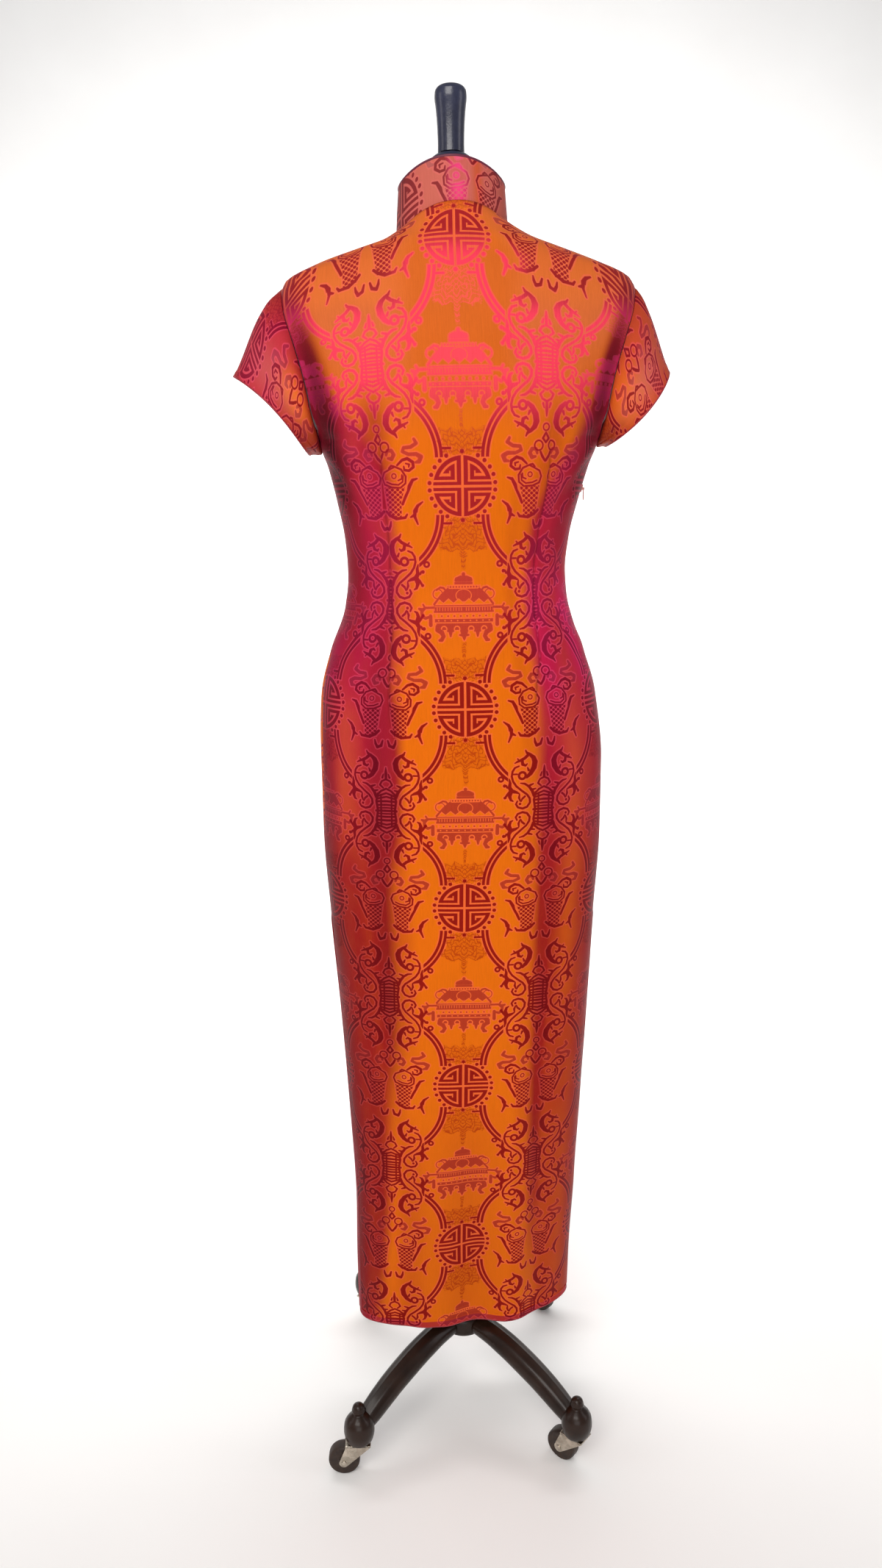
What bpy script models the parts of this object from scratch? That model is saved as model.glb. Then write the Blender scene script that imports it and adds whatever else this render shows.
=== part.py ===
"""A full-length cheongsam on a limbless dress form, whose cast stand rolls on four swivel casters.

The wearer's front faces -Y, the wearer's right is -X, and the floor is z = 0 under the form's axis.
"""

import math

import bmesh
import bpy
import numpy as np
from mathutils import Matrix, Vector

CM = 0.01
MM = 0.001

# Cloth: one wall stands for the silk with its lining, and butted edges keep a hair's gap.
CLOTH = 0.0014
SEAM_GAP = 0.0003
BINDING_WIDTH = 0.0045
BINDING_THICK = 0.0011
REST_GAP = 0.0003

# The worn body in rings, in centimetres and degrees, from the hem up to the neck seam.
# z at the side, at the centre back and at the centre front; half width; depths from the axis;
# square is the ring's exponent (2 is an ellipse); cut is where an armhole opens, measured
# round the ring from the side; placket is how far the diagonal opening has come from the
# right armhole (0) to the centre front (1); aside is how far the dress sits towards the
# wearer's right; tilt is how much its right side rides up.
BODY_COLUMNS = ("z_side", "z_back", "z_front", "half", "back", "front", "square", "cut", "placket", "aside", "tilt")
BODY_ROWS = (
    (14.6, 14.0, 14.2, 14.30, 4.9, 5.7, 2.50, 0, 0, 0.10, 0.10),
    (22.4, 22.4, 22.4, 14.40, 5.4, 6.2, 2.45, 0, 0, 0.20, 0),
    (32.9, 32.9, 32.9, 14.55, 6.0, 6.8, 2.40, 0, 0, 0.50, 0),
    (46.0, 46.0, 46.0, 15.05, 6.9, 7.7, 2.35, 0, 0, 0.50, 0),
    (58.4, 58.4, 58.4, 15.65, 7.8, 8.5, 2.30, 0, 0, 0.45, 0),
    (70.9, 70.9, 70.9, 16.35, 8.8, 9.3, 2.30, 0, 0, 0.35, 0),
    (81.9, 81.9, 81.9, 16.90, 9.7, 10.0, 2.30, 0, 0, 0.40, 0),
    (90.4, 90.4, 90.4, 16.90, 10.1, 10.4, 2.25, 0, 0, 0.42, 0),
    (98.4, 98.4, 98.4, 16.30, 9.9, 10.3, 2.20, 0, 0, 0.15, 0),
    (103.7, 103.7, 103.7, 14.85, 9.0, 9.7, 2.20, 0, 0, 0.05, 0),
    (108.9, 108.9, 108.9, 13.00, 8.2, 8.9, 2.20, 0, 0, 0.10, 0),
    (112.7, 112.7, 112.7, 12.60, 8.0, 8.8, 2.20, 0, 0, 0.10, 0),
    (116.4, 116.4, 116.4, 12.90, 8.5, 9.7, 2.20, 0, 0, 0.18, 0),
    (120.6, 120.6, 120.6, 13.80, 9.4, 11.4, 2.20, 0, 0, 0.32, 0),
    (124.2, 124.2, 124.2, 14.75, 10.0, 12.3, 2.20, 0, 0, 0.45, 0),
    (126.6, 126.6, 126.6, 15.60, 10.3, 12.4, 2.25, 0, 0, 0.52, 0),
    (127.8, 127.8, 127.8, 15.70, 10.4, 12.2, 2.28, 14, 0.13, 0.55, 0),
    (129.9, 129.9, 129.9, 16.10, 10.55, 11.7, 2.30, 24, 0.28, 0.55, 0),
    (133.4, 133.4, 133.2, 16.75, 10.6, 10.9, 2.30, 28, 0.51, 0.55, 0),
    (137.4, 137.4, 136.7, 17.90, 10.3, 9.9, 2.30, 26, 0.72, 0.58, 0),
    (140.7, 141.0, 139.5, 18.95, 9.7, 8.9, 2.30, 17, 0.84, 0.58, -0.03),
    (142.7, 143.3, 140.8, 19.25, 9.1, 8.3, 2.30, 8, 0.89, 0.58, -0.05),
    (143.5, 144.6, 141.7, 19.00, 8.7, 7.9, 2.30, 0, 0.92, 0.55, -0.05),
    (144.8, 145.9, 142.4, 16.40, 8.2, 7.4, 2.30, 0, 0.94, 0.45, -0.05),
    (145.8, 147.0, 143.2, 13.30, 7.7, 6.9, 2.25, 0, 0.96, 0.30, 0.08),
    (146.7, 148.1, 144.0, 10.00, 7.1, 6.5, 2.20, 0, 0.975, 0.18, 0.28),
    (147.5, 149.5, 145.0, 7.80, 6.5, 6.15, 2.15, 0, 0.99, 0.08, 0.42),
    (148.4, 150.6, 146.0, 6.10, 6.0, 5.9, 2.10, 0, 1, 0, 0.50),
)
ROW_SPACING = 5.2 * CM
ARMPIT, SHOULDER_TIP = 15, 22

# Side seams: the left one lies a little behind the widest line over the hip, so that the
# front shows past it there. Columns: z, degrees round from the widest line.
LEFT_SEAM_ROWS = ((14.6, 0), (68.4, 3), (80.4, 11), (93.4, 14), (102.4, 10), (112.4, 2), (126.6, 0))
SLIT_TOP = 70.9 * CM
SLIT_GAP_AT_HEM = 1.1 * CM

# The skirt hangs with a slight turn at its hem, and in soft upright folds.
# Columns: side (1 back, -1 front), x, half width, depth out, z where it starts, z where it is full.
HEM_TURN = math.radians(9)
TURN_TOP = 64.4 * CM
FOLD_ROWS = (
    (1, -0.6, 4.4, -0.95, 62, 15),
    (1, 7.4, 4.0, 0.25, 72, 20),
    (1, -6.2, 4.2, 0.45, 68, 18),
    (1, 8.3, 2.4, -0.22, 100, 82),
    (1, -8.6, 2.4, -0.22, 100, 82),
    (-1, 1.5, 4.6, -0.80, 58, 15),
    (-1, -6.6, 4.0, 0.40, 70, 20),
    (-1, 7.6, 4.2, 0.30, 70, 20),
)
HEM_WAVE = 0.35 * CM

# Stand collar, in centimetres: its seam is the body's last ring, and these are its top ring.
COLLAR_TOP_SIDE, COLLAR_TOP_BACK, COLLAR_TOP_FRONT = 153.2, 155.0, 151.0
COLLAR_TOP_HALF, COLLAR_TOP_DEPTH_BACK, COLLAR_TOP_DEPTH_FRONT = 5.75, 5.7, 5.4
COLLAR_OPENING = math.radians(1.6)
COLLAR_CORNER = 1.6

# Cap sleeves, in centimetres: the hem ring leans from its outer top to its inner bottom.
# Each has its hem's top and bottom (x, z), half depth, how far the hem's middle lifts, and the
# swell of the cloth a third of the way from seam to hem.
SLEEVE_COLUMNS = ("top", "bottom", "depth", "lift", "swell")
SLEEVES = {
    "left": ((24.6, 134.2), (16.5, 125.7), 5.1, 0.90, 0.75),
    "right": ((-24.0, 134.1), (-17.3, 126.2), 5.1, -0.70, 0.45),
}
SLEEVE_ROWS = 5
SLEEVE_SEAM_GAP = 0.0004
SLEEVE_BINDING_GAP = 0.0006

# Frogs: columns are the place along the bar from -1 to 1, and its width and height in millimetres.
FROG_HALF_LENGTH = 2.1 * CM
FROG_ROWS = (
    (-1.0, 3.0, 1.2), (-0.92, 5.0, 1.6), (-0.7, 5.0, 1.6), (-0.55, 2.6, 1.6), (-0.28, 2.6, 1.6), (-0.16, 7.0, 4.4),
    (0.0, 8.0, 5.2),
    (0.16, 7.0, 4.4), (0.28, 2.6, 1.6), (0.55, 2.6, 1.6), (0.7, 5.0, 1.6), (0.92, 5.0, 1.6), (1.0, 3.0, 1.2),
)

# Dress form.
FORM_CLEARANCE = 0.0030
FORM_SEAT = 0.0009
FORM_BOTTOM = 78.4 * CM
FORM_NECK_ROWS = ((5.3, 5.2, 151.0, 1.3), (5.2, 5.1, 153.9, 0))  # half width, depth, height, backward rise
FORM_NECK_IN = 0.97
CAP_PROFILE = ((4.7, 153.93), (4.75, 154.25), (4.3, 155.0), (3.3, 155.75), (2.1, 156.3), (1.0, 156.55))
KNOB_PROFILE = (
    (1.44, 156.58), (1.42, 157.4), (1.47, 159.2), (1.60, 160.9),
    (1.72, 161.9), (1.66, 162.5), (1.28, 162.95), (0.6, 163.15),
)

# Stand, in centimetres.
POLE_RADIUS = 1.4
HUB_PROFILE = ((1.6, 10.1), (2.6, 10.2), (3.15, 10.6), (3.2, 11.4), (3.05, 12.4), (2.5, 13.0), (1.8, 13.3))
LEG_YAW = math.radians(1.0)
LEG_ROWS = (  # distance out, height of the middle, width, height of the section
    (3.20, 11.55, 3.0, 2.5), (5.0, 11.5, 3.1, 2.8), (8.0, 11.0, 3.2, 3.1), (11.0, 10.15, 3.2, 3.2),
    (13.5, 9.25, 3.1, 3.2), (15.7, 8.25, 3.0, 3.1), (17.5, 7.3, 2.8, 2.9), (18.9, 6.6, 2.5, 2.6),
)
LEG_SIDES = 10
LEG_REACH = 19.6
BULB_PROFILE = (
    (1.45, 4.55), (1.8, 5.2), (1.95, 6.15), (1.86, 7.1), (1.42, 7.95), (0.85, 8.45),
    (0.70, 8.7), (0.78, 9.1), (0.78, 9.45), (0.6, 9.8), (0.25, 10.0),
)

# Swivel casters, in centimetres: the axle trails the swivel axis, towards +X turned by these angles.
CASTER_TRAIL = 2.0
CASTER_TURNS = tuple(math.radians(a) for a in (0, -40, -45, -120))
WHEEL_RADIUS, WHEEL_HALF, WHEEL_TREAD_HALF, WHEEL_HUB = 2.0, 0.95, 0.85, 0.7
WHEEL_SIDES = 16
FORK_TOP, FORK_PLATE, FORK_CHEEK = 4.52, 0.22, 0.2
FORK_CHEEK_OUTLINE = (
    (-1.45, 4.52), (-1.0, 3.9), (0.6, 2.5), (1.55, 1.5), (2.0, 1.35), (2.45, 1.55), (2.6, 2.0),
    (2.45, 2.6), (1.95, 3.6), (1.75, 4.52),
)
RIVET_RADIUS, RIVET_PROUD = 0.32, 0.12

# Side zip at the wearer's right: the slider sits just under the armhole.
ZIP_Z = 121.7 * CM
SLIDER_HALF_WIDTH, SLIDER_HALF_HEIGHT, SLIDER_THICK = 0.0024, 0.0045, 0.0013
EAR_THICK, EAR_REACH, EAR_HALF_HEIGHT = 0.0010, 0.0024, 0.0016
PULL_LENGTH, PULL_HALF_WIDTH, PULL_NECK, PULL_THICK = 0.0125, 0.0024, 0.0008, 0.0012

MATERIALS = {  # colour, roughness, metallic
    "silk": ((0.62, 0.16, 0.03), 0.42, 0.0),
    "binding": ((0.28, 0.02, 0.03), 0.5, 0.0),
    "form_cloth": ((0.02, 0.02, 0.022), 0.85, 0.0),
    "knob_paint": ((0.02, 0.022, 0.035), 0.25, 0.0),
    "cast_paint": ((0.045, 0.028, 0.02), 0.3, 0.0),
    "nickel": ((0.62, 0.56, 0.48), 0.3, 1.0),
    "wheel_rubber": ((0.045, 0.032, 0.025), 0.5, 0.0),
    "zip_enamel": ((0.8, 0.42, 0.4), 0.35, 0.0),
}


def clear_scene():
    for leftover in list(bpy.data.objects):
        bpy.data.objects.remove(leftover, do_unlink=True)


def material(name):
    if name in bpy.data.materials:
        return bpy.data.materials[name]
    colour, roughness, metallic = MATERIALS[name]
    made = bpy.data.materials.new(name)
    made.use_nodes = True
    shader = made.node_tree.nodes["Principled BSDF"]
    shader.inputs["Base Color"].default_value = (*colour, 1)
    shader.inputs["Roughness"].default_value = roughness
    shader.inputs["Metallic"].default_value = metallic
    return made


def add_object(name, mesh, finish):
    mesh.materials.clear()
    mesh.materials.append(material(finish))
    mesh.shade_smooth()
    mesh.set_sharp_from_angle(angle=math.radians(40))
    made = bpy.data.objects.new(name, mesh)
    bpy.context.scene.collection.objects.link(made)
    return made


def mesh_from(name, bm):
    mesh = bpy.data.meshes.new(name)
    bm.to_mesh(mesh)
    bm.free()
    return mesh


# ---------------------------------------------------------------- smooth tables


def smooth(knots, values, at):
    """A curve through the values that never overshoots them, read at each place in at."""
    knots, values = np.asarray(knots, float), np.asarray(values, float)
    steps = np.diff(knots)
    rises = np.diff(values) / steps
    slopes = np.zeros_like(values)
    same_way = rises[:-1] * rises[1:] > 0
    weight_a, weight_b = 2 * steps[1:] + steps[:-1], steps[1:] + 2 * steps[:-1]
    with np.errstate(divide="ignore", invalid="ignore"):
        mean = (weight_a + weight_b) / (weight_a / rises[:-1] + weight_b / rises[1:])
    slopes[1:-1] = np.where(same_way, mean, 0)
    slopes[0], slopes[-1] = rises[0], rises[-1]
    at = np.clip(at, knots[0], knots[-1])
    i = np.clip(np.searchsorted(knots, at, side="right") - 1, 0, len(steps) - 1)
    t = (at - knots[i]) / steps[i]
    return (
        values[i] * (1 + 2 * t) * (1 - t) ** 2
        + values[i + 1] * t * t * (3 - 2 * t)
        + steps[i] * t * (1 - t) * (slopes[i] * (1 - t) - slopes[i + 1] * t)
    )


def ramp(value, start, full):
    """0 before start, 1 past full, and a soft step between them."""
    t = np.clip((value - start) / (full - start), 0, 1)
    return t * t * (3 - 2 * t)


BODY = {name: np.array([row[i] for row in BODY_ROWS], float) for i, name in enumerate(BODY_COLUMNS)}
for length_column in ("z_side", "z_back", "z_front", "half", "back", "front", "aside", "tilt"):
    BODY[length_column] *= CM
BODY["cut"] = np.radians(BODY["cut"])
# Places up the body, v, are lengths along its side and back, so that rings are evenly read.
BODY_V = np.concatenate(
    [[0], np.cumsum(np.hypot(np.diff(BODY["z_side"]), np.diff(BODY["half"])) * 0.5
                    + np.hypot(np.diff(BODY["z_back"]), np.diff(BODY["back"])) * 0.5)]
)
ARMPIT_V, TIP_V, NECK_V = BODY_V[ARMPIT], BODY_V[SHOULDER_TIP], BODY_V[-1]


def body(name, v):
    return smooth(BODY_V, BODY[name], v)


def v_at_height(z):
    """The place up the side whose height is z, below the shoulder tip."""
    return float(smooth(BODY["z_side"], BODY_V, z))


# ---------------------------------------------------------------- the worn surface


def fold_depth(x, z, side):
    """How far the soft folds push the skirt in or out at x."""
    out = np.zeros_like(x)
    for fold_side, middle, half, depth, start, full in FOLD_ROWS:
        across = np.clip((x - middle * CM) / (half * CM), -1, 1)
        shape = 0.5 + 0.5 * np.cos(across * math.pi)
        out += np.where(side == fold_side, depth * CM * shape * ramp(z, start * CM, full * CM), 0)
    return out


def surface(u, v):
    """Points of the cloth's outer face: u is the angle round from the left side, v the place up."""
    u, v = np.broadcast_arrays(np.asarray(u, float), np.asarray(v, float))
    power = 2 / body("square", v)
    widest = body("half", v) / np.cos(body("cut", v)) ** power
    sin_u, cos_u = np.sin(u), np.cos(u)
    side = np.where(sin_u >= 0, 1, -1)
    depth = np.where(side > 0, body("back", v), body("front", v))
    x = widest * np.sign(cos_u) * np.abs(cos_u) ** power
    y = depth * side * np.abs(sin_u) ** power
    middle = np.where(side > 0, body("z_back", v), body("z_front", v))
    z = body("z_side", v) + (middle - body("z_side", v)) * sin_u**2 - body("tilt", v) * cos_u
    y = y + side * fold_depth(x, z, side)
    x = x - body("aside", v)
    low = ramp(z, TURN_TOP, BODY["z_side"][0])
    z = z + HEM_WAVE * low * np.sin(3 * u - 0.7) * np.abs(sin_u)
    turn = HEM_TURN * low
    return np.stack([x * np.cos(turn) - y * np.sin(turn), x * np.sin(turn) + y * np.cos(turn), z], -1)


def surface_normal(u, v):
    """Outward unit normals of the cloth's outer face."""
    step_u, step_v = 0.004, 0.0015
    v = np.asarray(v, float)
    above, below = np.minimum(v + step_v, NECK_V), np.maximum(v - step_v, 0)
    along = surface(u + step_u, v) - surface(u - step_u, v)
    up = surface(u, above) - surface(u, below)
    normal = np.cross(along, up)
    return normal / np.linalg.norm(normal, axis=-1, keepdims=True)


def nudged(u, v, distance):
    """The angle that lies a distance further round the ring than u."""
    step = 0.01
    speed = np.linalg.norm(surface(u + step, v) - surface(u - step, v), axis=-1) / (2 * step)
    return u + distance / speed


def left_seam(v):
    z = body("z_side", v)
    knots, degrees = zip(*LEFT_SEAM_ROWS)
    return np.radians(smooth(np.array(knots) * CM, degrees, z))


def slit(v):
    """Half the gap that the side slits stand open by."""
    z = body("z_side", v)
    return 0.5 * (SEAM_GAP + (SLIT_GAP_AT_HEM - SEAM_GAP) * ramp(z, SLIT_TOP, BODY["z_side"][0]))


def panel_edges(v):
    """The angles at which the back and the front panels end: back left, back right, front right, front left."""
    cut, half_gap = body("cut", v), slit(v)
    left, right = left_seam(v), math.pi
    open_arm = cut > 1e-6
    return (
        np.where(open_arm, cut, nudged(left, v, half_gap)),
        np.where(open_arm, math.pi - cut, nudged(right, v, -half_gap)),
        np.where(open_arm, math.pi + cut, nudged(right, v, half_gap)),
        2 * math.pi + np.where(open_arm, -cut, nudged(left, v, -half_gap)),
    )


def placket_angle(v):
    """Where the diagonal opening of the front crosses each ring."""
    start = math.pi + body("cut", v)
    return start + (1.5 * math.pi - start) * body("placket", v)


# ---------------------------------------------------------------- closed walls


def quads(bm, rows, wrap, flip):
    """Faces between neighbouring rows of vertices."""
    columns = len(rows[0])
    for lower, upper in zip(rows, rows[1:]):
        for i in range(columns if wrap else columns - 1):
            k = (i + 1) % columns
            face = [lower[i], lower[k], upper[k], upper[i]]
            bm.faces.new(face[::-1] if flip else face)


def closed_wall(name, outer, inner, finish, wrap=False):
    """A wall between an outer and an inner grid of points, closed round its edges."""
    bm = bmesh.new()
    grids = [[[bm.verts.new(p) for p in row] for row in grid] for grid in (outer, inner)]
    quads(bm, grids[0], wrap, flip=False)
    quads(bm, grids[1], wrap, flip=True)
    first, last = (grids[0][0], grids[1][0]), (grids[0][-1], grids[1][-1])
    quads(bm, first, wrap, flip=True)
    quads(bm, last, wrap, flip=False)
    if not wrap:
        for i, flip in ((0, False), (-1, True)):
            quads(bm, ([row[i] for row in grids[0]], [row[i] for row in grids[1]]), False, flip)
    bmesh.ops.recalc_face_normals(bm, faces=bm.faces)
    return add_object(name, mesh_from(name, bm), finish)


def even_rows(low, high, must_hold=()):
    """Places from low to high, about ROW_SPACING apart, with the given places among them."""
    stops = sorted({low, high, *(s for s in must_hold if low < s < high)})
    places = []
    for a, b in zip(stops, stops[1:]):
        parts = max(1, round((b - a) / ROW_SPACING))
        places += list(np.linspace(a, b, parts, endpoint=False))
    return np.array(places + [high])


PANEL_COLUMNS = 20
UPPER_STOPS = [BODY_V[i] for i in (11, ARMPIT, 16, 17, 18, 19, 20, 21, SHOULDER_TIP, 23, 24, 25, 26)]
UPPER_STOPS += [(BODY_V[i] + BODY_V[i + 1]) / 2 for i in (17, 18, 19)]
SHOULDER_FOOT_V = ARMPIT_V + 0.6 * (BODY_V[16] - ARMPIT_V)  # the small shoulder panel starts here
UPPER_STOPS.append(SHOULDER_FOOT_V)
PANEL_V = even_rows(0, NECK_V, [*UPPER_STOPS, v_at_height(SLIT_TOP)])
ARMHOLE_V = PANEL_V[(PANEL_V >= ARMPIT_V - 1e-9) & (PANEL_V <= TIP_V + 1e-9)][::-1]


def cloth_panel(name, v, start, end, columns):
    """A panel of the worn surface between two angles on each ring. Returns its points and normals."""
    share = np.linspace(0, 1, columns + 1)
    u = start[:, None] + (end - start)[:, None] * share
    rings = np.repeat(v[:, None], columns + 1, axis=1)
    outer, normals = surface(u, rings), surface_normal(u, rings)
    closed_wall(name, outer, outer - CLOTH * normals, "silk")
    return outer, normals


def make_panels():
    back_left, back_right, front_right, front_left = panel_edges(PANEL_V)
    back = cloth_panel("back_panel", PANEL_V, back_left, back_right, PANEL_COLUMNS)
    split = nudged(placket_angle(PANEL_V), PANEL_V, SEAM_GAP)
    start = np.where(PANEL_V > ARMPIT_V, split, front_right)
    front = cloth_panel("front_main", PANEL_V, start, front_left, PANEL_COLUMNS)
    upper = PANEL_V[PANEL_V > SHOULDER_FOOT_V - 1e-9]
    edge = panel_edges(upper)[2]
    cloth_panel("front_shoulder", upper, edge, nudged(placket_angle(upper), upper, -SEAM_GAP), 8)
    return back, front


# ---------------------------------------------------------------- bindings: strips that lie on a panel


def strip(name, edge, inner, normals, gap=REST_GAP, wrap=False):
    """A flat strip between an edge path and an inner path, lifted off the cloth along its normals."""
    low = [edge + gap * normals, inner + gap * normals]
    high = [edge + (gap + BINDING_THICK) * normals, inner + (gap + BINDING_THICK) * normals]
    return closed_wall(name, np.stack(high), np.stack(low), "binding", wrap)


def towards(start, goal, distance):
    """Points a distance from start on the way to goal."""
    way = goal - start
    return start + way * (distance / np.linalg.norm(way, axis=-1, keepdims=True))


def panel_binding(name, panel):
    """The binding of a panel's two slit edges and its hem, as one U of the panel's own points."""
    outer, normals = panel
    rows = np.flatnonzero(PANEL_V <= v_at_height(SLIT_TOP) + 1e-6)[::-1]
    hem = outer[0, 1:-1]
    hem_in = towards(hem, outer[1, 1:-1], BINDING_WIDTH)
    left, right = outer[rows, 0], outer[rows, -1]
    left_in = towards(left, outer[rows, 1], BINDING_WIDTH)
    right_in = towards(right, outer[rows, -2], BINDING_WIDTH)
    left_in[-1] = towards(left_in[-1], left_in[-2], BINDING_WIDTH)
    right_in[-1] = towards(right_in[-1], right_in[-2], BINDING_WIDTH)
    edge = np.concatenate([left, hem, right[::-1]])
    inner = np.concatenate([left_in, hem_in, right_in[::-1]])
    out = np.concatenate([normals[rows, 0], normals[0, 1:-1], normals[rows, -1][::-1]])
    strip(name, edge, inner, out)


def make_panel_bindings(back, front):
    panel_binding("back_binding", back)
    panel_binding("front_binding", front)
    rows = np.flatnonzero(PANEL_V >= BODY_V[16] - 1e-6)
    outer, normals = front
    edge = outer[rows, 0]
    edge[-1] = towards(edge[-1], edge[-2], REST_GAP * 2)
    strip("placket_binding", edge, towards(edge, outer[rows, 1], BINDING_WIDTH), normals[rows, 0])


# ---------------------------------------------------------------- collar


def collar_ring(u, height_share):
    """Points of the collar's outer face from its seam (0) to its top edge (1)."""
    base = surface(u, np.full_like(u, NECK_V))
    sin_u, cos_u = np.sin(u), np.cos(u)
    back = sin_u >= 0
    depth = np.where(back, COLLAR_TOP_DEPTH_BACK, COLLAR_TOP_DEPTH_FRONT) * CM
    middle = np.where(back, COLLAR_TOP_BACK, COLLAR_TOP_FRONT) * CM
    z_top = COLLAR_TOP_SIDE * CM + (middle - COLLAR_TOP_SIDE * CM) * sin_u**2
    off_opening = np.abs((u - 1.5 * math.pi + math.pi) % (2 * math.pi) - math.pi) * depth
    radius = COLLAR_CORNER * CM
    short = np.clip(radius - off_opening, 0, radius)
    z_top = z_top - (radius - np.sqrt(radius**2 - short**2))
    top = np.stack([COLLAR_TOP_HALF * CM * cos_u, depth * sin_u, z_top], -1)
    foot = base + np.array([0, 0, SEAM_GAP])
    return foot + (top - foot) * height_share


def collar_outward(u):
    out = np.stack([np.cos(u) * COLLAR_TOP_DEPTH_BACK, np.sin(u) * COLLAR_TOP_HALF, np.full_like(u, 0.6)], -1)
    return out / np.linalg.norm(out, axis=-1, keepdims=True)


def make_collar():
    start, end = 1.5 * math.pi + COLLAR_OPENING, 3.5 * math.pi - COLLAR_OPENING
    corner = math.radians(16)
    u = np.concatenate([
        np.linspace(start, start + corner, 5)[:-1],
        np.linspace(start + corner, end - corner, 29),
        np.linspace(end - corner, end, 5)[1:],
    ])
    shares = (0.0, 0.35, 0.7, 1.0)
    outer = np.stack([collar_ring(u, s) for s in shares])
    inward = collar_outward(u) * [1, 1, 0]
    inner = outer - CLOTH * inward / np.linalg.norm(inward, axis=-1, keepdims=True)
    closed_wall("collar", outer, inner, "silk")
    outward = inward / np.linalg.norm(inward, axis=-1, keepdims=True)
    strip("collar_binding", towards(outer[-1], outer[-2], BINDING_WIDTH), outer[-1], outward)


# ---------------------------------------------------------------- sleeves


def armhole_ring(side):
    """The armhole's edge from the shoulder tip down the back to the armpit and up the front, with its normals."""
    v = np.concatenate([ARMHOLE_V, ARMHOLE_V[-2:0:-1]])
    cut = body("cut", v) * np.where(np.arange(len(v)) < len(ARMHOLE_V), 1, -1)
    u = cut if side == "left" else math.pi - cut
    return surface(u, v), surface_normal(u, v)


def sleeve_rings(side):
    """Outer rings of a sleeve from its seam to its hem, all with points in the same order."""
    shape = dict(zip(SLEEVE_COLUMNS, SLEEVES[side]))
    root, root_normal = armhole_ring(side)
    steps = np.linalg.norm(np.roll(root, -1, axis=0) - root, axis=-1)
    around = 2 * math.pi * np.concatenate([[0], np.cumsum(steps)[:-1]]) / steps.sum()
    top, bottom = (np.array([x, 0, z]) * CM for x, z in (shape["top"], shape["bottom"]))
    slant = (top - bottom) / np.linalg.norm(top - bottom)
    inward_up = np.array([-slant[2], 0, slant[0]]) * math.copysign(1, slant[0])
    hem = (
        (top + bottom) / 2
        + (top - bottom) / 2 * np.cos(around)[:, None]
        + np.array([0, shape["depth"] * CM, 0]) * np.sin(around)[:, None]
        + inward_up * shape["lift"] * CM * (np.sin(around) ** 2)[:, None]
    )
    outward = hem - hem.mean(axis=0)
    outward /= np.linalg.norm(outward, axis=-1, keepdims=True)
    root = towards(root, hem, SLEEVE_SEAM_GAP)
    rings = []
    for share in np.linspace(0, 1, SLEEVE_ROWS + 1):
        swell = shape["swell"] * CM * 6.75 * share * (1 - share) ** 2
        rings.append(root + (hem - root) * share + outward * swell)
    return np.stack(rings), root_normal


def tube_normals(rings):
    """Outward normals of a tube of rings."""
    around = np.roll(rings, -1, axis=1) - np.roll(rings, 1, axis=1)
    along = np.gradient(rings, axis=0)
    normals = np.cross(around, along)
    normals /= np.linalg.norm(normals, axis=-1, keepdims=True)
    outward = rings - rings.mean(axis=1, keepdims=True)
    return normals * np.sign((normals * outward).sum(-1, keepdims=True).mean())


def make_sleeves():
    for side in SLEEVES:
        outer, root_normal = sleeve_rings(side)
        normals = tube_normals(outer)
        normals[0] = root_normal
        closed_wall(f"sleeve_{side}", outer, outer - CLOTH * normals, "silk", wrap=True)
        hem, above = outer[-1], outer[-2]
        strip(f"sleeve_binding_{side}", hem, towards(hem, above, BINDING_WIDTH), normals[-1], SLEEVE_BINDING_GAP, True)


# ---------------------------------------------------------------- frog closures, plain


def make_frogs():
    """Three plain frogs on the diagonal opening: a bar with looped ends and a knot in the middle."""
    lift = REST_GAP * 2 + BINDING_THICK
    for number, v in enumerate((NECK_V - 0.9 * CM, BODY_V[20], BODY_V[17]), start=1):
        middle = nudged(placket_angle(np.array(v)), v, SEAM_GAP + BINDING_WIDTH / 2)
        low, high = [], []
        for place, width, height in FROG_ROWS:
            u = nudged(middle, v, place * FROG_HALF_LENGTH)
            normal = surface_normal(u, v)
            points = np.stack([surface(u, v + across * width * MM) for across in (-0.5, 0.5)])
            low.append(points + lift * normal)
            high.append(points + (lift + height * MM) * normal)
        closed_wall(f"frog_{number}", np.stack(high, axis=1), np.stack(low, axis=1), "binding")


# ---------------------------------------------------------------- turned and extruded pieces


def turned(name, profile, segments=20, scale=CM):
    """A closed solid turned round the Z axis from a profile of (radius, height) from its bottom up."""
    bm = bmesh.new()
    rings = []
    for radius, z in profile:
        ring = bmesh.ops.create_circle(
            bm, segments=segments, radius=radius * scale, matrix=Matrix.Translation((0, 0, z * scale))
        )["verts"]
        rings.append(ring)
    quads(bm, rings, wrap=True, flip=False)
    bm.faces.new(rings[0][::-1])
    bm.faces.new(rings[-1])
    bmesh.ops.recalc_face_normals(bm, faces=bm.faces)
    return mesh_from(name, bm)


def prism(name, outline, y_low, y_high):
    """A closed solid extruded along Y from an outline of (x, z) in centimetres."""
    bm = bmesh.new()
    face = bm.faces.new([bm.verts.new((x * CM, y_low * CM, z * CM)) for x, z in outline])
    grown = bmesh.ops.extrude_face_region(bm, geom=[face])["geom"]
    moved = [item for item in grown if isinstance(item, bmesh.types.BMVert)]
    bmesh.ops.translate(bm, verts=moved, vec=(0, (y_high - y_low) * CM, 0))
    bmesh.ops.recalc_face_normals(bm, faces=bm.faces)
    return mesh_from(name, bm)


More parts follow.
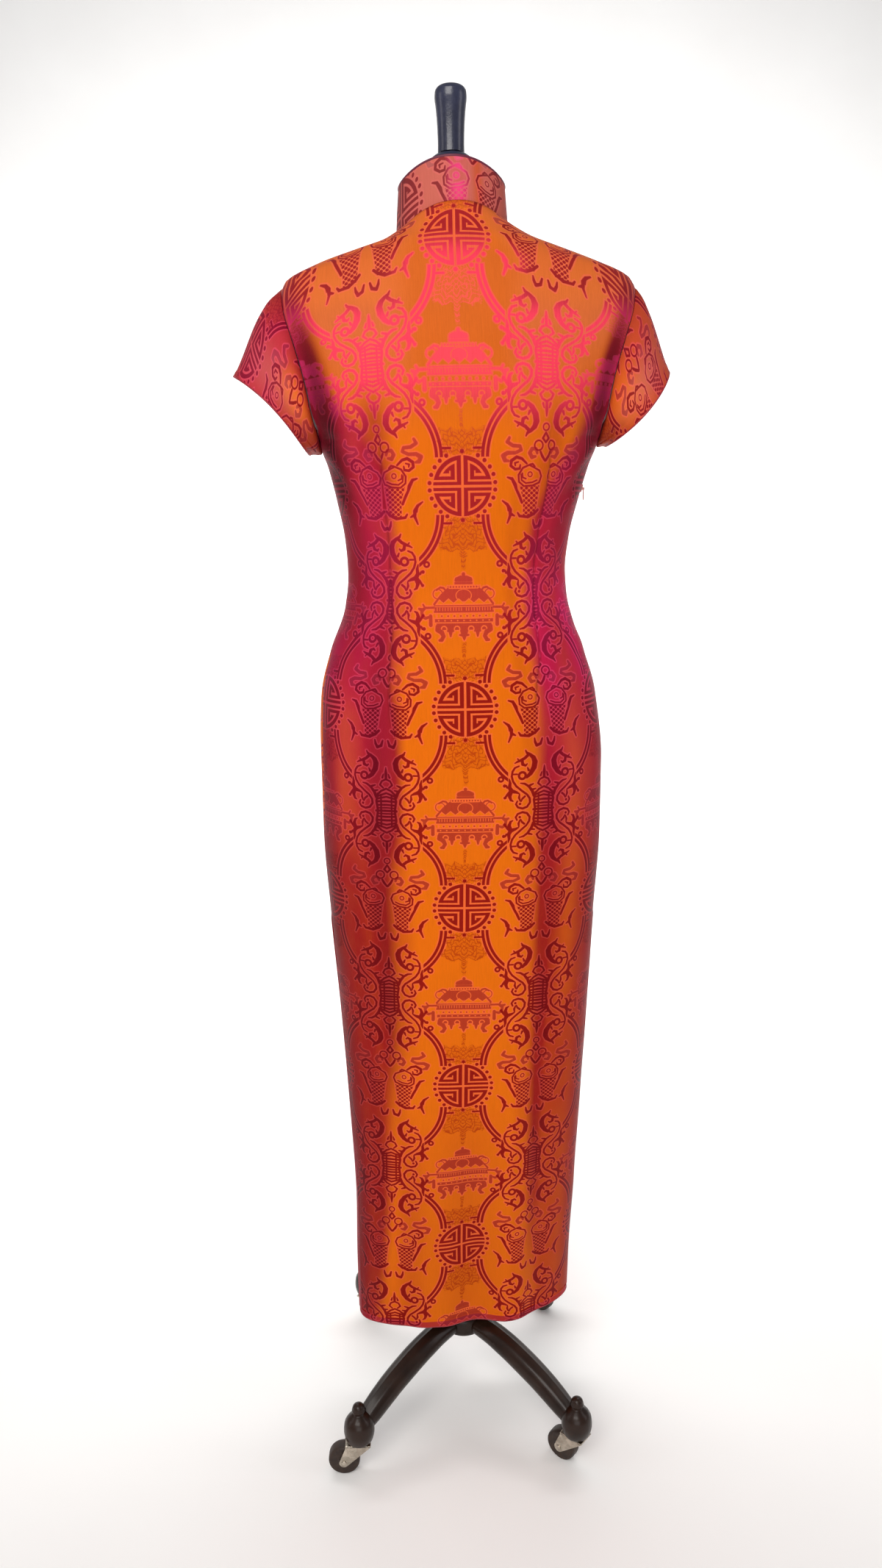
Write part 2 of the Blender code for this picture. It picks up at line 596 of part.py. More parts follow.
def united(name, meshes):
    """One closed mesh from several that overlap."""
    objects = [bpy.data.objects.new(f"{name}_piece_{i}", mesh) for i, mesh in enumerate(meshes)]
    for piece in objects:
        bpy.context.scene.collection.objects.link(piece)
        piece.hide_render = True
        piece.display_type = "WIRE"
    for piece in objects[1:]:
        joint = objects[0].modifiers.new("union", "BOOLEAN")
        joint.operation = "UNION"
        joint.object = piece
    bpy.context.view_layer.update()
    graph = bpy.context.evaluated_depsgraph_get()
    result = bpy.data.meshes.new_from_object(objects[0].evaluated_get(graph))
    result.name = name
    for piece in objects:
        bpy.data.objects.remove(piece, do_unlink=True)
    return result


# ---------------------------------------------------------------- dress form


def make_form():
    columns = 24
    u = np.linspace(0, 2 * math.pi, columns, endpoint=False) + math.pi / columns
    low = v_at_height(FORM_BOTTOM)
    v = np.concatenate([[low], PANEL_V[PANEL_V > low + 1.5 * CM]])
    seated = ramp(v, TIP_V - 1 * CM, TIP_V + 2 * CM)
    offset = CLOTH + FORM_CLEARANCE + (FORM_SEAT - FORM_CLEARANCE) * seated
    grid_u = np.repeat(u[None], len(v), axis=0)
    grid_v = np.repeat(v[:, None], columns, axis=1)
    rings = surface(grid_u, grid_v) - offset[:, None, None] * surface_normal(grid_u, grid_v)
    rings[0, :, 2] = FORM_BOTTOM
    rings[-1, :, :2] *= FORM_NECK_IN
    neck = [
        np.stack([half * CM * np.cos(u), depth * CM * np.sin(u), (z + tilt * np.sin(u)) * CM], -1)
        for half, depth, z, tilt in FORM_NECK_ROWS
    ]
    rings = np.concatenate([rings, np.stack(neck)])
    bm = bmesh.new()
    grid = [[bm.verts.new(p) for p in ring] for ring in rings]
    quads(bm, grid, wrap=True, flip=False)
    bm.faces.new(grid[0][::-1])
    bm.faces.new(grid[-1])
    bmesh.ops.recalc_face_normals(bm, faces=bm.faces)
    add_object("form_torso", mesh_from("form_torso", bm), "form_cloth")
    add_object("form_neck_cap", turned("form_neck_cap", CAP_PROFILE), "knob_paint")
    add_object("form_knob", turned("form_knob", KNOB_PROFILE, 14), "knob_paint")


# ---------------------------------------------------------------- stand


def leg_mesh():
    """One leg along +X: an oval section swept down its arch, with the bulb and finial at its foot."""
    bm = bmesh.new()
    rows = np.array(LEG_ROWS) * CM
    tangents = np.gradient(rows[:, :2], axis=0)
    tangents /= np.linalg.norm(tangents, axis=-1, keepdims=True)
    tangents[0] = (1, 0)
    rings = []
    for (out, height, width, tall), (run, rise) in zip(rows, tangents):
        ring = []
        for k in range(LEG_SIDES):
            angle = 2 * math.pi * (k + 0.5) / LEG_SIDES
            across, up = math.cos(angle) * width / 2, math.sin(angle) * tall / 2
            ring.append(bm.verts.new((out - rise * up, across, height + run * up)))
        rings.append(ring)
    quads(bm, rings, wrap=True, flip=False)
    bm.faces.new(rings[0][::-1])
    bm.faces.new(rings[-1])
    bmesh.ops.recalc_face_normals(bm, faces=bm.faces)
    bulb = turned("bulb", BULB_PROFILE, 12)
    bulb.transform(Matrix.Translation((LEG_REACH * CM, 0, 0)))
    return united("stand_leg", [mesh_from("leg_arch", bm), bulb])


def fork_mesh():
    """A bent plate with a triangular cheek at each side of the wheel and a rivet head on each cheek."""
    inside = WHEEL_HALF + 0.03
    outside = inside + FORK_CHEEK
    plate_low = FORK_TOP - FORK_PLATE
    plate = ((-1.45, FORK_TOP), (-1.45, plate_low), (1.78, plate_low), (1.78, FORK_TOP))
    pieces = [prism("plate", plate, -outside, outside)]
    for side in (-1, 1):
        pieces.append(prism("cheek", FORK_CHEEK_OUTLINE, *sorted((side * inside, side * outside))))
        rivet = [
            (CASTER_TRAIL + RIVET_RADIUS * math.cos(a), WHEEL_RADIUS + RIVET_RADIUS * math.sin(a))
            for a in np.linspace(0, 2 * math.pi, 10, endpoint=False)
        ]
        pieces.append(prism("rivet", rivet, *sorted((side * (outside - 0.08), side * (outside + RIVET_PROUD)))))
    return united("caster_fork", pieces)


def wheel_mesh():
    """A wheel about its own centre, its axle along Y and a flat of its tread at the bottom."""
    shoulder = WHEEL_RADIUS - 0.18
    profile = (
        (WHEEL_HUB * 0.5, -WHEEL_HALF), (WHEEL_HUB, -WHEEL_HALF), (WHEEL_HUB + 0.1, -WHEEL_TREAD_HALF),
        (shoulder, -WHEEL_TREAD_HALF), (WHEEL_RADIUS, -WHEEL_TREAD_HALF + 0.18),
        (WHEEL_RADIUS, WHEEL_TREAD_HALF - 0.18), (shoulder, WHEEL_TREAD_HALF),
        (WHEEL_HUB + 0.1, WHEEL_TREAD_HALF), (WHEEL_HUB, WHEEL_HALF), (WHEEL_HUB * 0.5, WHEEL_HALF),
    )
    mesh = turned("caster_wheel", profile, WHEEL_SIDES)
    flat_down = math.pi / WHEEL_SIDES
    grow = 1 / math.cos(flat_down)
    mesh.transform(Matrix.Rotation(math.pi / 2, 4, "X") @ Matrix.Rotation(flat_down, 4, "Z"))
    mesh.transform(Matrix.Diagonal((grow, 1, grow, 1)))
    return mesh


def make_stand():
    top = FORM_BOTTOM / CM - REST_GAP / CM
    pole = turned("stand_pole", ((POLE_RADIUS, HUB_PROFILE[-1][1] + REST_GAP / CM), (POLE_RADIUS, top)), 16)
    add_object("stand_pole", pole, "cast_paint")
    add_object("stand_hub", turned("stand_hub", HUB_PROFILE), "cast_paint")
    leg, fork, wheel = leg_mesh(), fork_mesh(), wheel_mesh()
    for number in range(4):
        turn = math.pi / 4 + number * math.pi / 2 + LEG_YAW
        swivel = Vector((math.cos(turn), math.sin(turn), 0)) * LEG_REACH * CM
        added = add_object(f"stand_leg_{number + 1}", leg, "cast_paint")
        added.rotation_euler = (0, 0, turn)
        carrier = add_object(f"caster_fork_{number + 1}", fork, "nickel")
        carrier.location = swivel
        carrier.rotation_euler = (0, 0, CASTER_TURNS[number])
        roller = add_object(f"caster_wheel_{number + 1}", wheel, "wheel_rubber")
        trail = Matrix.Rotation(CASTER_TURNS[number], 3, "Z") @ Vector((CASTER_TRAIL * CM, 0, 0))
        roller.location = swivel + trail + Vector((0, 0, WHEEL_RADIUS * CM))
        roller.rotation_euler = (0, 0, CASTER_TURNS[number])


# ---------------------------------------------------------------- side zip


def box_mesh(name, low, high):
    bm = bmesh.new()
    centre = [(a + b) / 2 for a, b in zip(low, high)]
    size = [b - a for a, b in zip(low, high)]
    bmesh.ops.create_cube(bm, size=1, matrix=Matrix.Translation(centre) @ Matrix.Diagonal((*size, 1)))
    return mesh_from(name, bm)


def make_zip():
    """The slider lies on the right side seam, square to the cloth, and its tab hangs from two ears."""
    v = np.array(v_at_height(ZIP_Z))
    out = Vector(surface_normal(math.pi, v))
    across = Vector((0, 0, 1)).cross(out).normalized()
    up = out.cross(across)
    frame = Matrix((out, across, up)).transposed().to_4x4()
    frame.translation = Vector(surface(math.pi, v))
    low = REST_GAP * 2
    ear_inside = PULL_NECK + REST_GAP
    plate = box_mesh("plate", (low, -SLIDER_HALF_WIDTH, -SLIDER_HALF_HEIGHT),
                     (low + SLIDER_THICK, SLIDER_HALF_WIDTH, SLIDER_HALF_HEIGHT))
    ears = [
        box_mesh("ear", (low + SLIDER_THICK * 0.5, min(side * ear_inside, side * (ear_inside + EAR_THICK)),
                         -EAR_HALF_HEIGHT),
                 (low + SLIDER_THICK + EAR_REACH, max(side * ear_inside, side * (ear_inside + EAR_THICK)),
                  EAR_HALF_HEIGHT))
        for side in (-1, 1)
    ]
    slider = united("zip_slider", [plate, *ears])
    slider.transform(frame)
    add_object("zip_slider", slider, "zip_enamel")
    axis_out = low + SLIDER_THICK + EAR_REACH * 0.55
    outline = ((-PULL_NECK, 0.0010), (PULL_NECK, 0.0010), (PULL_NECK, -0.0028), (PULL_HALF_WIDTH, -0.0052),
               (PULL_HALF_WIDTH, -PULL_LENGTH + 0.0018), (0.0012, -PULL_LENGTH), (-0.0012, -PULL_LENGTH),
               (-PULL_HALF_WIDTH, -PULL_LENGTH + 0.0018), (-PULL_HALF_WIDTH, -0.0052), (-PULL_NECK, -0.0028))
    tab = prism("zip_pull", [(x / CM, z / CM) for x, z in outline], -PULL_THICK / CM / 2, PULL_THICK / CM / 2)
    tab.transform(Matrix.Rotation(math.pi / 2, 4, "Z"))
    pull = add_object("zip_pull", tab, "zip_enamel")
    level_out = across.cross(Vector((0, 0, 1)))
    hanging = Matrix((level_out, across, (0, 0, 1))).transposed().to_4x4()
    hanging.translation = frame @ Vector((axis_out, 0, 0))
    pull.matrix_world = hanging


def main():
    clear_scene()
    back, front = make_panels()
    make_panel_bindings(back, front)
    make_collar()
    make_sleeves()
    make_frogs()
    make_form()
    make_stand()
    make_zip()


main()
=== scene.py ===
# %% [markdown]
# # A full-length cheongsam on a limbless dress form
#
# The real piece is a fitted silk dress with a stand collar, cap sleeves and a slit at each
# side, shown from its back on a padded form whose cast stand rolls on four casters.
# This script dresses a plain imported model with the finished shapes: cloth with darts, hems and
# rolled edges, a woven brocade, turned and cast metal. Each step has a cell that says what the
# thing is and why it is made the way it is. Lengths are metres unless a name says otherwise,
# +Z is up, the wearer's front faces -Y and the wearer's right is -X.

import math

import bmesh
import bpy
import numpy as np
from mathutils import Matrix, Vector


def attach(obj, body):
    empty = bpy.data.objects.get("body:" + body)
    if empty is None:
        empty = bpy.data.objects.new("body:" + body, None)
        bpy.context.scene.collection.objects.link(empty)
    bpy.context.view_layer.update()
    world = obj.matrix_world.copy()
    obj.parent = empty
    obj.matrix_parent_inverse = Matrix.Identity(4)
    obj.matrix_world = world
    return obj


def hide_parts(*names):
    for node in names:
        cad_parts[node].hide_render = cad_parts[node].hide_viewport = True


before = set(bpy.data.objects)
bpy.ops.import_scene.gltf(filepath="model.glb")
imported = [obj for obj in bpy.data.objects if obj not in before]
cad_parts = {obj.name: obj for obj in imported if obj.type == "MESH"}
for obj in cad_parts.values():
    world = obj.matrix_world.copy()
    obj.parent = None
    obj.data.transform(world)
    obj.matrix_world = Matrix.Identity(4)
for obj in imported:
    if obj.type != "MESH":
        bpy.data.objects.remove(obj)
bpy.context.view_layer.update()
ROOT = "dress_on_form"

# %% [markdown]
# ## The worn body as a table
#
# A pattern cutter knows a body as girths at heights. The same table is used here: each row is
# one ring round the dress, from the hem up to the neck seam, with its height, its half width
# and its depths. A curve that never overshoots joins the rows, so the hips, waist and bust flow
# into each other without bumps. Nothing is modelled by eye: every later piece asks this one
# surface where the cloth is.

# %% Rings of the body, in centimetres and degrees
CM, MM = 0.01, 0.001
BODY_COLUMNS = (
    "z_side", "z_back", "z_front", "half", "back", "front", "square", "cut", "placket", "aside", "tilt",
)
BODY_ROWS = (
    (14.6, 14.0, 14.2, 14.30, 4.9, 5.7, 2.50, 0, 0, 0.10, 0.10),
    (22.4, 22.4, 22.4, 14.40, 5.4, 6.2, 2.45, 0, 0, 0.20, 0),
    (32.9, 32.9, 32.9, 14.55, 6.0, 6.8, 2.40, 0, 0, 0.50, 0),
    (46.0, 46.0, 46.0, 15.05, 6.9, 7.7, 2.35, 0, 0, 0.50, 0),
    (58.4, 58.4, 58.4, 15.65, 7.8, 8.5, 2.30, 0, 0, 0.45, 0),
    (70.9, 70.9, 70.9, 16.35, 8.8, 9.3, 2.30, 0, 0, 0.35, 0),
    (81.9, 81.9, 81.9, 16.90, 9.7, 10.0, 2.30, 0, 0, 0.40, 0),
    (90.4, 90.4, 90.4, 16.90, 10.1, 10.4, 2.25, 0, 0, 0.42, 0),
    (98.4, 98.4, 98.4, 16.30, 9.9, 10.3, 2.20, 0, 0, 0.15, 0),
    (103.7, 103.7, 103.7, 14.85, 9.0, 9.7, 2.20, 0, 0, 0.05, 0),
    (108.9, 108.9, 108.9, 13.00, 8.2, 8.9, 2.20, 0, 0, 0.10, 0),
    (112.7, 112.7, 112.7, 12.60, 8.0, 8.8, 2.20, 0, 0, 0.10, 0),
    (116.4, 116.4, 116.4, 12.90, 8.5, 9.7, 2.20, 0, 0, 0.18, 0),
    (120.6, 120.6, 120.6, 13.80, 9.4, 11.4, 2.20, 0, 0, 0.32, 0),
    (124.2, 124.2, 124.2, 14.75, 10.0, 12.3, 2.20, 0, 0, 0.45, 0),
    (126.6, 126.6, 126.6, 15.60, 10.3, 12.4, 2.25, 0, 0, 0.52, 0),
    (127.8, 127.8, 127.8, 15.70, 10.4, 12.2, 2.28, 14, 0.13, 0.55, 0),
    (129.9, 129.9, 129.9, 16.10, 10.55, 11.7, 2.30, 24, 0.28, 0.55, 0),
    (133.4, 133.4, 133.2, 16.75, 10.6, 10.9, 2.30, 28, 0.51, 0.55, 0),
    (137.4, 137.4, 136.7, 17.90, 10.3, 9.9, 2.30, 26, 0.72, 0.58, 0),
    (140.7, 141.0, 139.5, 18.95, 9.7, 8.9, 2.30, 17, 0.84, 0.58, -0.03),
    (142.7, 143.3, 140.8, 19.25, 9.1, 8.3, 2.30, 8, 0.89, 0.58, -0.05),
    (143.5, 144.6, 141.7, 19.00, 8.7, 7.9, 2.30, 0, 0.92, 0.55, -0.05),
    (144.8, 145.9, 142.4, 16.40, 8.2, 7.4, 2.30, 0, 0.94, 0.45, -0.05),
    (145.8, 147.0, 143.2, 13.30, 7.7, 6.9, 2.25, 0, 0.96, 0.30, 0.08),
    (146.7, 148.1, 144.0, 10.00, 7.1, 6.5, 2.20, 0, 0.975, 0.18, 0.28),
    (147.5, 149.5, 145.0, 7.80, 6.5, 6.15, 2.15, 0, 0.99, 0.08, 0.42),
    (148.4, 150.6, 146.0, 6.10, 6.0, 5.9, 2.10, 0, 1, 0, 0.50),
)
ARMPIT, PLACKET_START, SHOULDER_TIP = 15, 16, 22


# %% Smooth reading of a table
def smooth(knots, values, at):
    """A curve through the values that never overshoots them, read at each place in at."""
    knots, values = np.asarray(knots, float), np.asarray(values, float)
    steps = np.diff(knots)
    rises = np.diff(values) / steps
    slopes = np.zeros_like(values)
    same_way = rises[:-1] * rises[1:] > 0
    weight_a, weight_b = 2 * steps[1:] + steps[:-1], steps[1:] + 2 * steps[:-1]
    with np.errstate(divide="ignore", invalid="ignore"):
        mean = (weight_a + weight_b) / (weight_a / rises[:-1] + weight_b / rises[1:])
    slopes[1:-1] = np.where(same_way, mean, 0)
    slopes[0], slopes[-1] = rises[0], rises[-1]
    at = np.clip(at, knots[0], knots[-1])
    i = np.clip(np.searchsorted(knots, at, side="right") - 1, 0, len(steps) - 1)
    t = (at - knots[i]) / steps[i]
    return (
        values[i] * (1 + 2 * t) * (1 - t) ** 2
        + values[i + 1] * t * t * (3 - 2 * t)
        + steps[i] * t * (1 - t) * (slopes[i] * (1 - t) - slopes[i + 1] * t)
    )


def ramp(value, start, full):
    """0 before start, 1 past full, and a soft step between them."""
    t = np.clip((value - start) / (full - start), 0, 1)
    return t * t * (3 - 2 * t)


def bump(value, middle, half):
    """1 at the middle, fading softly to 0 half a width away."""
    return 0.5 + 0.5 * np.cos(np.clip((value - middle) / half, -1, 1) * math.pi)


BODY = {name: np.array([row[i] for row in BODY_ROWS], float) for i, name in enumerate(BODY_COLUMNS)}
for length_column in ("z_side", "z_back", "z_front", "half", "back", "front", "aside", "tilt"):
    BODY[length_column] *= CM
BODY["cut"] = np.radians(BODY["cut"])
BODY_V = np.concatenate(
    [[0], np.cumsum(np.hypot(np.diff(BODY["z_side"]), np.diff(BODY["half"])) * 0.5
                    + np.hypot(np.diff(BODY["z_back"]), np.diff(BODY["back"])) * 0.5)]
)
ARMPIT_V, TIP_V, NECK_V = BODY_V[ARMPIT], BODY_V[SHOULDER_TIP], BODY_V[-1]


def body(name, v):
    return smooth(BODY_V, BODY[name], v)


def v_at_height(z):
    return smooth(BODY["z_side"], BODY_V, z)


print(f"the body is {NECK_V:.3f} m from hem to neck, measured up its side and back")

# %% [markdown]
# ## The surface that the cloth follows
#
# A place on the dress is an angle round the body, u, and a length up it, v. u is 0 at the
# wearer's left side, a quarter turn at the centre back, half a turn at the right side. The
# skirt hangs free of the form below the hips, so a few broad upright folds and a slight turn
# of the hem are added there, as the weight of silk makes them.

# %% Folds, and the surface itself
FOLD_ROWS = (  # side (1 back, -1 front), x, half width, depth out, z where it starts, z where it is full
    (1, -0.6, 4.4, -0.95, 62, 15), (1, 7.4, 4.0, 0.25, 72, 20), (1, -6.2, 4.2, 0.45, 68, 18),
    (1, 8.3, 2.4, -0.22, 100, 82), (1, -8.6, 2.4, -0.22, 100, 82),
    (-1, 1.5, 4.6, -0.80, 58, 15), (-1, -6.6, 4.0, 0.40, 70, 20), (-1, 7.6, 4.2, 0.30, 70, 20),
)
HEM_TURN, TURN_TOP, HEM_WAVE = math.radians(9), 64.4 * CM, 0.35 * CM
SLOPE_STEP_ROUND, SLOPE_STEP_UP = 0.004, 1.5 * MM  # how far apart two places are when a slope is taken


def fold_depth(x, z, side):
    out = np.zeros_like(x)
    for fold_side, middle, half, depth, start, full in FOLD_ROWS:
        shape = bump(x, middle * CM, half * CM)
        out += np.where(side == fold_side, depth * CM * shape * ramp(z, start * CM, full * CM), 0)
    return out


def surface(u, v):
    """Points of the cloth's outer face."""
    u, v = np.broadcast_arrays(np.asarray(u, float), np.asarray(v, float))
    power = 2 / body("square", v)
    widest = body("half", v) / np.cos(body("cut", v)) ** power
    sin_u, cos_u = np.sin(u), np.cos(u)
    side = np.where(sin_u >= 0, 1, -1)
    depth = np.where(side > 0, body("back", v), body("front", v))
    x = widest * np.sign(cos_u) * np.abs(cos_u) ** power
    y = depth * side * np.abs(sin_u) ** power
    middle = np.where(side > 0, body("z_back", v), body("z_front", v))
    z = body("z_side", v) + (middle - body("z_side", v)) * sin_u**2 - body("tilt", v) * cos_u
    y = y + side * fold_depth(x, z, side)
    x = x - body("aside", v)
    low = ramp(z, TURN_TOP, BODY["z_side"][0])
    z = z + HEM_WAVE * low * np.sin(3 * u - 0.7) * np.abs(sin_u)
    turn = HEM_TURN * low
    return np.stack([x * np.cos(turn) - y * np.sin(turn), x * np.sin(turn) + y * np.cos(turn), z], -1)


def unit(vectors):
    return vectors / np.linalg.norm(vectors, axis=-1, keepdims=True)


def surface_normal(u, v):
    v = np.asarray(v, float)
    above, below = np.minimum(v + SLOPE_STEP_UP, NECK_V), np.maximum(v - SLOPE_STEP_UP, 0)
    along = surface(u + SLOPE_STEP_ROUND, v) - surface(u - SLOPE_STEP_ROUND, v)
    return unit(np.cross(along, surface(u, above) - surface(u, below)))


def nudged(u, v, distance):
    """The angle that lies a distance further round the ring than u."""
    step = 0.01
    speed = np.linalg.norm(surface(u + step, v) - surface(u - step, v), axis=-1) / (2 * step)
    return u + distance / speed


WAIST_ROW = 11
print("waist:", surface(np.radians([0, 90, 180, 270]), BODY_V[WAIST_ROW]).round(3).tolist())

# %% [markdown]
# ## Where one panel ends and the next begins
#
# The dress is cut as a back, a front that wraps over towards the wearer's right, and a small
# shoulder piece under that wrap. The slits stand a little open at the hem. Over the left hip the
# seam lies slightly behind the widest line, so a strip of the front shows past it.

# %% Panel edges
LEFT_SEAM_ROWS = ((14.6, 0), (68.4, 3), (80.4, 11), (93.4, 14), (102.4, 10), (112.4, 2), (126.6, 0))
SEAM_GAP, SLIT_TOP, SLIT_GAP_AT_HEM = 0.3 * MM, 70.9 * CM, 1.1 * CM
SHOULDER_FOOT_V = ARMPIT_V + 0.6 * (BODY_V[PLACKET_START] - ARMPIT_V)


def left_seam(v):
    knots, degrees = zip(*LEFT_SEAM_ROWS)
    return np.radians(smooth(np.array(knots) * CM, degrees, body("z_side", v)))


def slit(v):
    """Half the gap that the side slits stand open by."""
    opened = ramp(body("z_side", v), SLIT_TOP, BODY["z_side"][0])
    return 0.5 * (SEAM_GAP + (SLIT_GAP_AT_HEM - SEAM_GAP) * opened)


def panel_edges(v):
    """Angles of the back's left and right edges and of the front's right and left edges."""
    cut, half_gap = body("cut", v), slit(v)
    open_arm = cut > 1e-6
    return (
        np.where(open_arm, cut, nudged(left_seam(v), v, half_gap)),
        np.where(open_arm, math.pi - cut, nudged(math.pi, v, -half_gap)),
        np.where(open_arm, math.pi + cut, nudged(math.pi, v, half_gap)),
        2 * math.pi + np.where(open_arm, -cut, nudged(left_seam(v), v, -half_gap)),
    )


def placket_angle(v):
    """Where the diagonal opening of the front crosses each ring."""
    start = math.pi + body("cut", v)
    return start + (1.5 * math.pi - start) * body("placket", v)


print(f"slits open from z = {SLIT_TOP:.3f} m down")

# %% [markdown]
# ## Cloth from a flat net
#
# Woven cloth is a flat net of threads that takes the body's shape, and it is made that way
# here: create_grid lays down a flat net, each of its points is then moved to its place on the
# body, and Solidify gives it a wall. The flat cut isn't lost. It is kept as the UV map, in
# metres, so that a woven pattern lies on the cloth as it does on the bolt, and it jumps at a
# dart exactly where cloth is folded away.

# %% Making and finishing meshes
WALL, WELD = 1.4 * MM, 0.02 * MM


def put_in_scene(name, mesh, *finishes, sharp=40):
    mesh.shade_smooth()
    mesh.set_sharp_from_angle(angle=math.radians(sharp))
    made = bpy.data.objects.new(name, mesh)
    for finish in finishes:
        mesh.materials.append(finish)
    bpy.context.scene.collection.objects.link(made)
    return made


def mesh_of(name, bm):
    mesh = bpy.data.meshes.new(name)
    bm.to_mesh(mesh)
    bm.free()
    return mesh


def net(points, across, up, tone=None, shift=None, weld=False):
    """A net of faces, moved to rows of points, that keeps its flat cut and its painted light and shade.

    shift moves the cut of each column of faces, by row, so that it can jump at a dart.
    weld closes a tube.
    """
    rows, columns = points.shape[0] - 1, points.shape[1] - 1
    bm = bmesh.new()
    bmesh.ops.create_grid(bm, x_segments=columns, y_segments=rows, size=0.5)
    bm.verts.index_update()
    flat = np.array([v.co[:2] for v in bm.verts])
    j = np.rint((flat[:, 0] + 0.5) * columns).astype(int)
    i = np.rint((flat[:, 1] + 0.5) * rows).astype(int)
    cut = bm.loops.layers.uv.new("cut")
    for face in bm.faces:
        own = min(j[loop.vert.index] for loop in face.loops)
        for loop in face.loops:
            a, b = i[loop.vert.index], j[loop.vert.index]
            loop[cut].uv = (across[a, b] + (0 if shift is None else shift[a, own]), up[a, b])
    if tone is not None:
        tint = bm.verts.layers.float_color.new("tone")
        veil = bm.verts.layers.float.new("veil")
        for vert, a, b in zip(bm.verts, i, j):
            vert[tint] = tone[a, b, :4]
            vert[veil] = tone[a, b, 4]
    for vert, a, b in zip(bm.verts, i, j):
        vert.co = points[a, b]
    if weld:
        bmesh.ops.remove_doubles(bm, verts=bm.verts, dist=WELD)
    return bm


def give_wall(made, thickness=WALL):
    """A wall inwards from the outer face. Its inside takes the second finish, the lining."""
    wall = made.modifiers.new("wall", "SOLIDIFY")
    wall.thickness, wall.offset = thickness, -1
    wall.material_offset = 1
    wall.use_even_offset = False
    return made


print("cloth walls are", WALL / MM, "mm")

# %% [markdown]
# ## Brocade: the colours of shot silk
#
# The warp of this silk is orange and its weft is crimson, so the cloth glows orange where it
# faces you and turns crimson, then wine, as it curves away. Where light glances off the long
# weft floats of the figure, it flashes pink. That play of light and angle is painted on the cloth
# once, as five soft numbers at each point: turn (painted crimson as the cloth curves away),
# flash (a painted pink highlight), shade (painted shade towards wine), glint (how far the figure
# is painted lit pink instead of lying dark red) and veil (a painted pale haze of light). A
# material may not read where the camera stands, so the turn of colour is painted on the cloth
# once, as five soft numbers at each point: turn (towards crimson), flash (towards pink), shade
# (towards wine), glow (how far the figure lights up pink instead of lying dark red) and veil (a
# pale haze of light over the whole cloth).

# %% Soft bands of painted light and shade on the worn back
# The painted crimson turn, where the cloth curves away from the light and the eye, starts this
# share of the half width from the centre, at each height, to each side.
TURN_LEFT = (
    (0.14, 0.78), (0.30, 0.66), (0.45, 0.60), (0.60, 0.52), (0.75, 0.49), (0.90, 0.43), (1.00, 0.45),
    (1.10, 0.50), (1.20, 0.50), (1.27, 0.62), (1.33, 0.86), (1.40, 1.0),
)
TURN_RIGHT = (
    (0.14, 0.62), (0.30, 0.55), (0.45, 0.50), (0.60, 0.50), (0.75, 0.49), (0.90, 0.49), (1.00, 0.53),
    (1.10, 0.56), (1.20, 0.62), (1.27, 0.78), (1.33, 0.92), (1.40, 1.0),
)
# Bands of painted light and shade: fold shadows, pale lit patches and pink flashes, each added to turn,
# flash, shade and glint.
LIGHT_AND_SHADE_BANDS = (  # share across (+ is the wearer's left), half, z from, z to, turn, flash, shade, glow
    (0.57, 0.14, 0.50, 1.06, 0.35, 0.00, 0.34, 0.0),
    (0.46, 0.10, 0.80, 1.00, 0.75, 0.05, 0.15, 0.0),
    (0.45, 0.12, 1.02, 1.14, 0.25, 0.15, 0.0, 0.0),
    (0.45, 0.14, 0.55, 0.78, 0.30, 0.00, 0.05, 0.0),
    (0.50, 0.22, 0.12, 0.42, 0.26, 0.00, 0.04, 0.0),
    (0.58, 0.16, 1.20, 1.31, 0.60, 0.05, 0.15, 0.0),
    (0.80, 0.13, 0.82, 0.98, -0.25, 0.00, -0.1, 0.0),
    (0.78, 0.15, 0.12, 0.80, 0.15, 0.00, 0.18, 0.0),
    (0.74, 0.16, 1.00, 1.19, 0.10, 0.20, 0.18, 0.0),
    (0.97, 0.17, 0.10, 0.98, 0.30, 0.00, 0.60, 0.0),
    (0.92, 0.22, 1.06, 1.32, 0.25, 0.00, 0.52, 0.0),
    (0.95, 0.12, 1.00, 1.06, 0.00, 0.45, 0.1, 0.0),
    (0.66, 0.14, 1.33, 1.37, -0.20, 0.00, 0.0, 0.2),
    (0.95, 0.12, 1.30, 1.42, 0.60, 0.30, 0.30, 0.0),
    (0.91, 0.13, 1.20, 1.385, 0.70, -0.10, 0.55, -0.5),
    (0.0, 0.60, 0.14, 0.45, 0.12, 0.00, 0.05, 0.0),
    (-0.46, 0.10, 0.20, 1.30, 0.16, 0.00, 0.05, 0.0),
    (-0.57, 0.10, 0.20, 0.92, 0.35, 0.00, 0.16, 0.0),
    (-0.64, 0.16, 1.15, 1.31, 0.42, 0.00, 0.05, 0.0),
    (-0.76, 0.11, 0.60, 0.98, -0.32, 0.00, -0.05, 0.0),
    (-0.66, 0.16, 0.98, 1.12, 0.20, 0.32, 0.0, 0.0),
    (-0.93, 0.13, 1.00, 1.12, 0.00, 0.60, -0.2, 0.0),
    (-0.88, 0.16, 1.14, 1.34, 0.25, 0.00, 0.30, 0.0),
    (-0.97, 0.14, 0.10, 0.98, 0.15, 0.06, 0.24, 0.0),
    (-0.95, 0.10, 1.28, 1.42, 0.65, 0.20, 0.35, 0.0),
    (-0.94, 0.10, 1.20, 1.38, 0.60, 0.00, 0.42, -0.4),
)


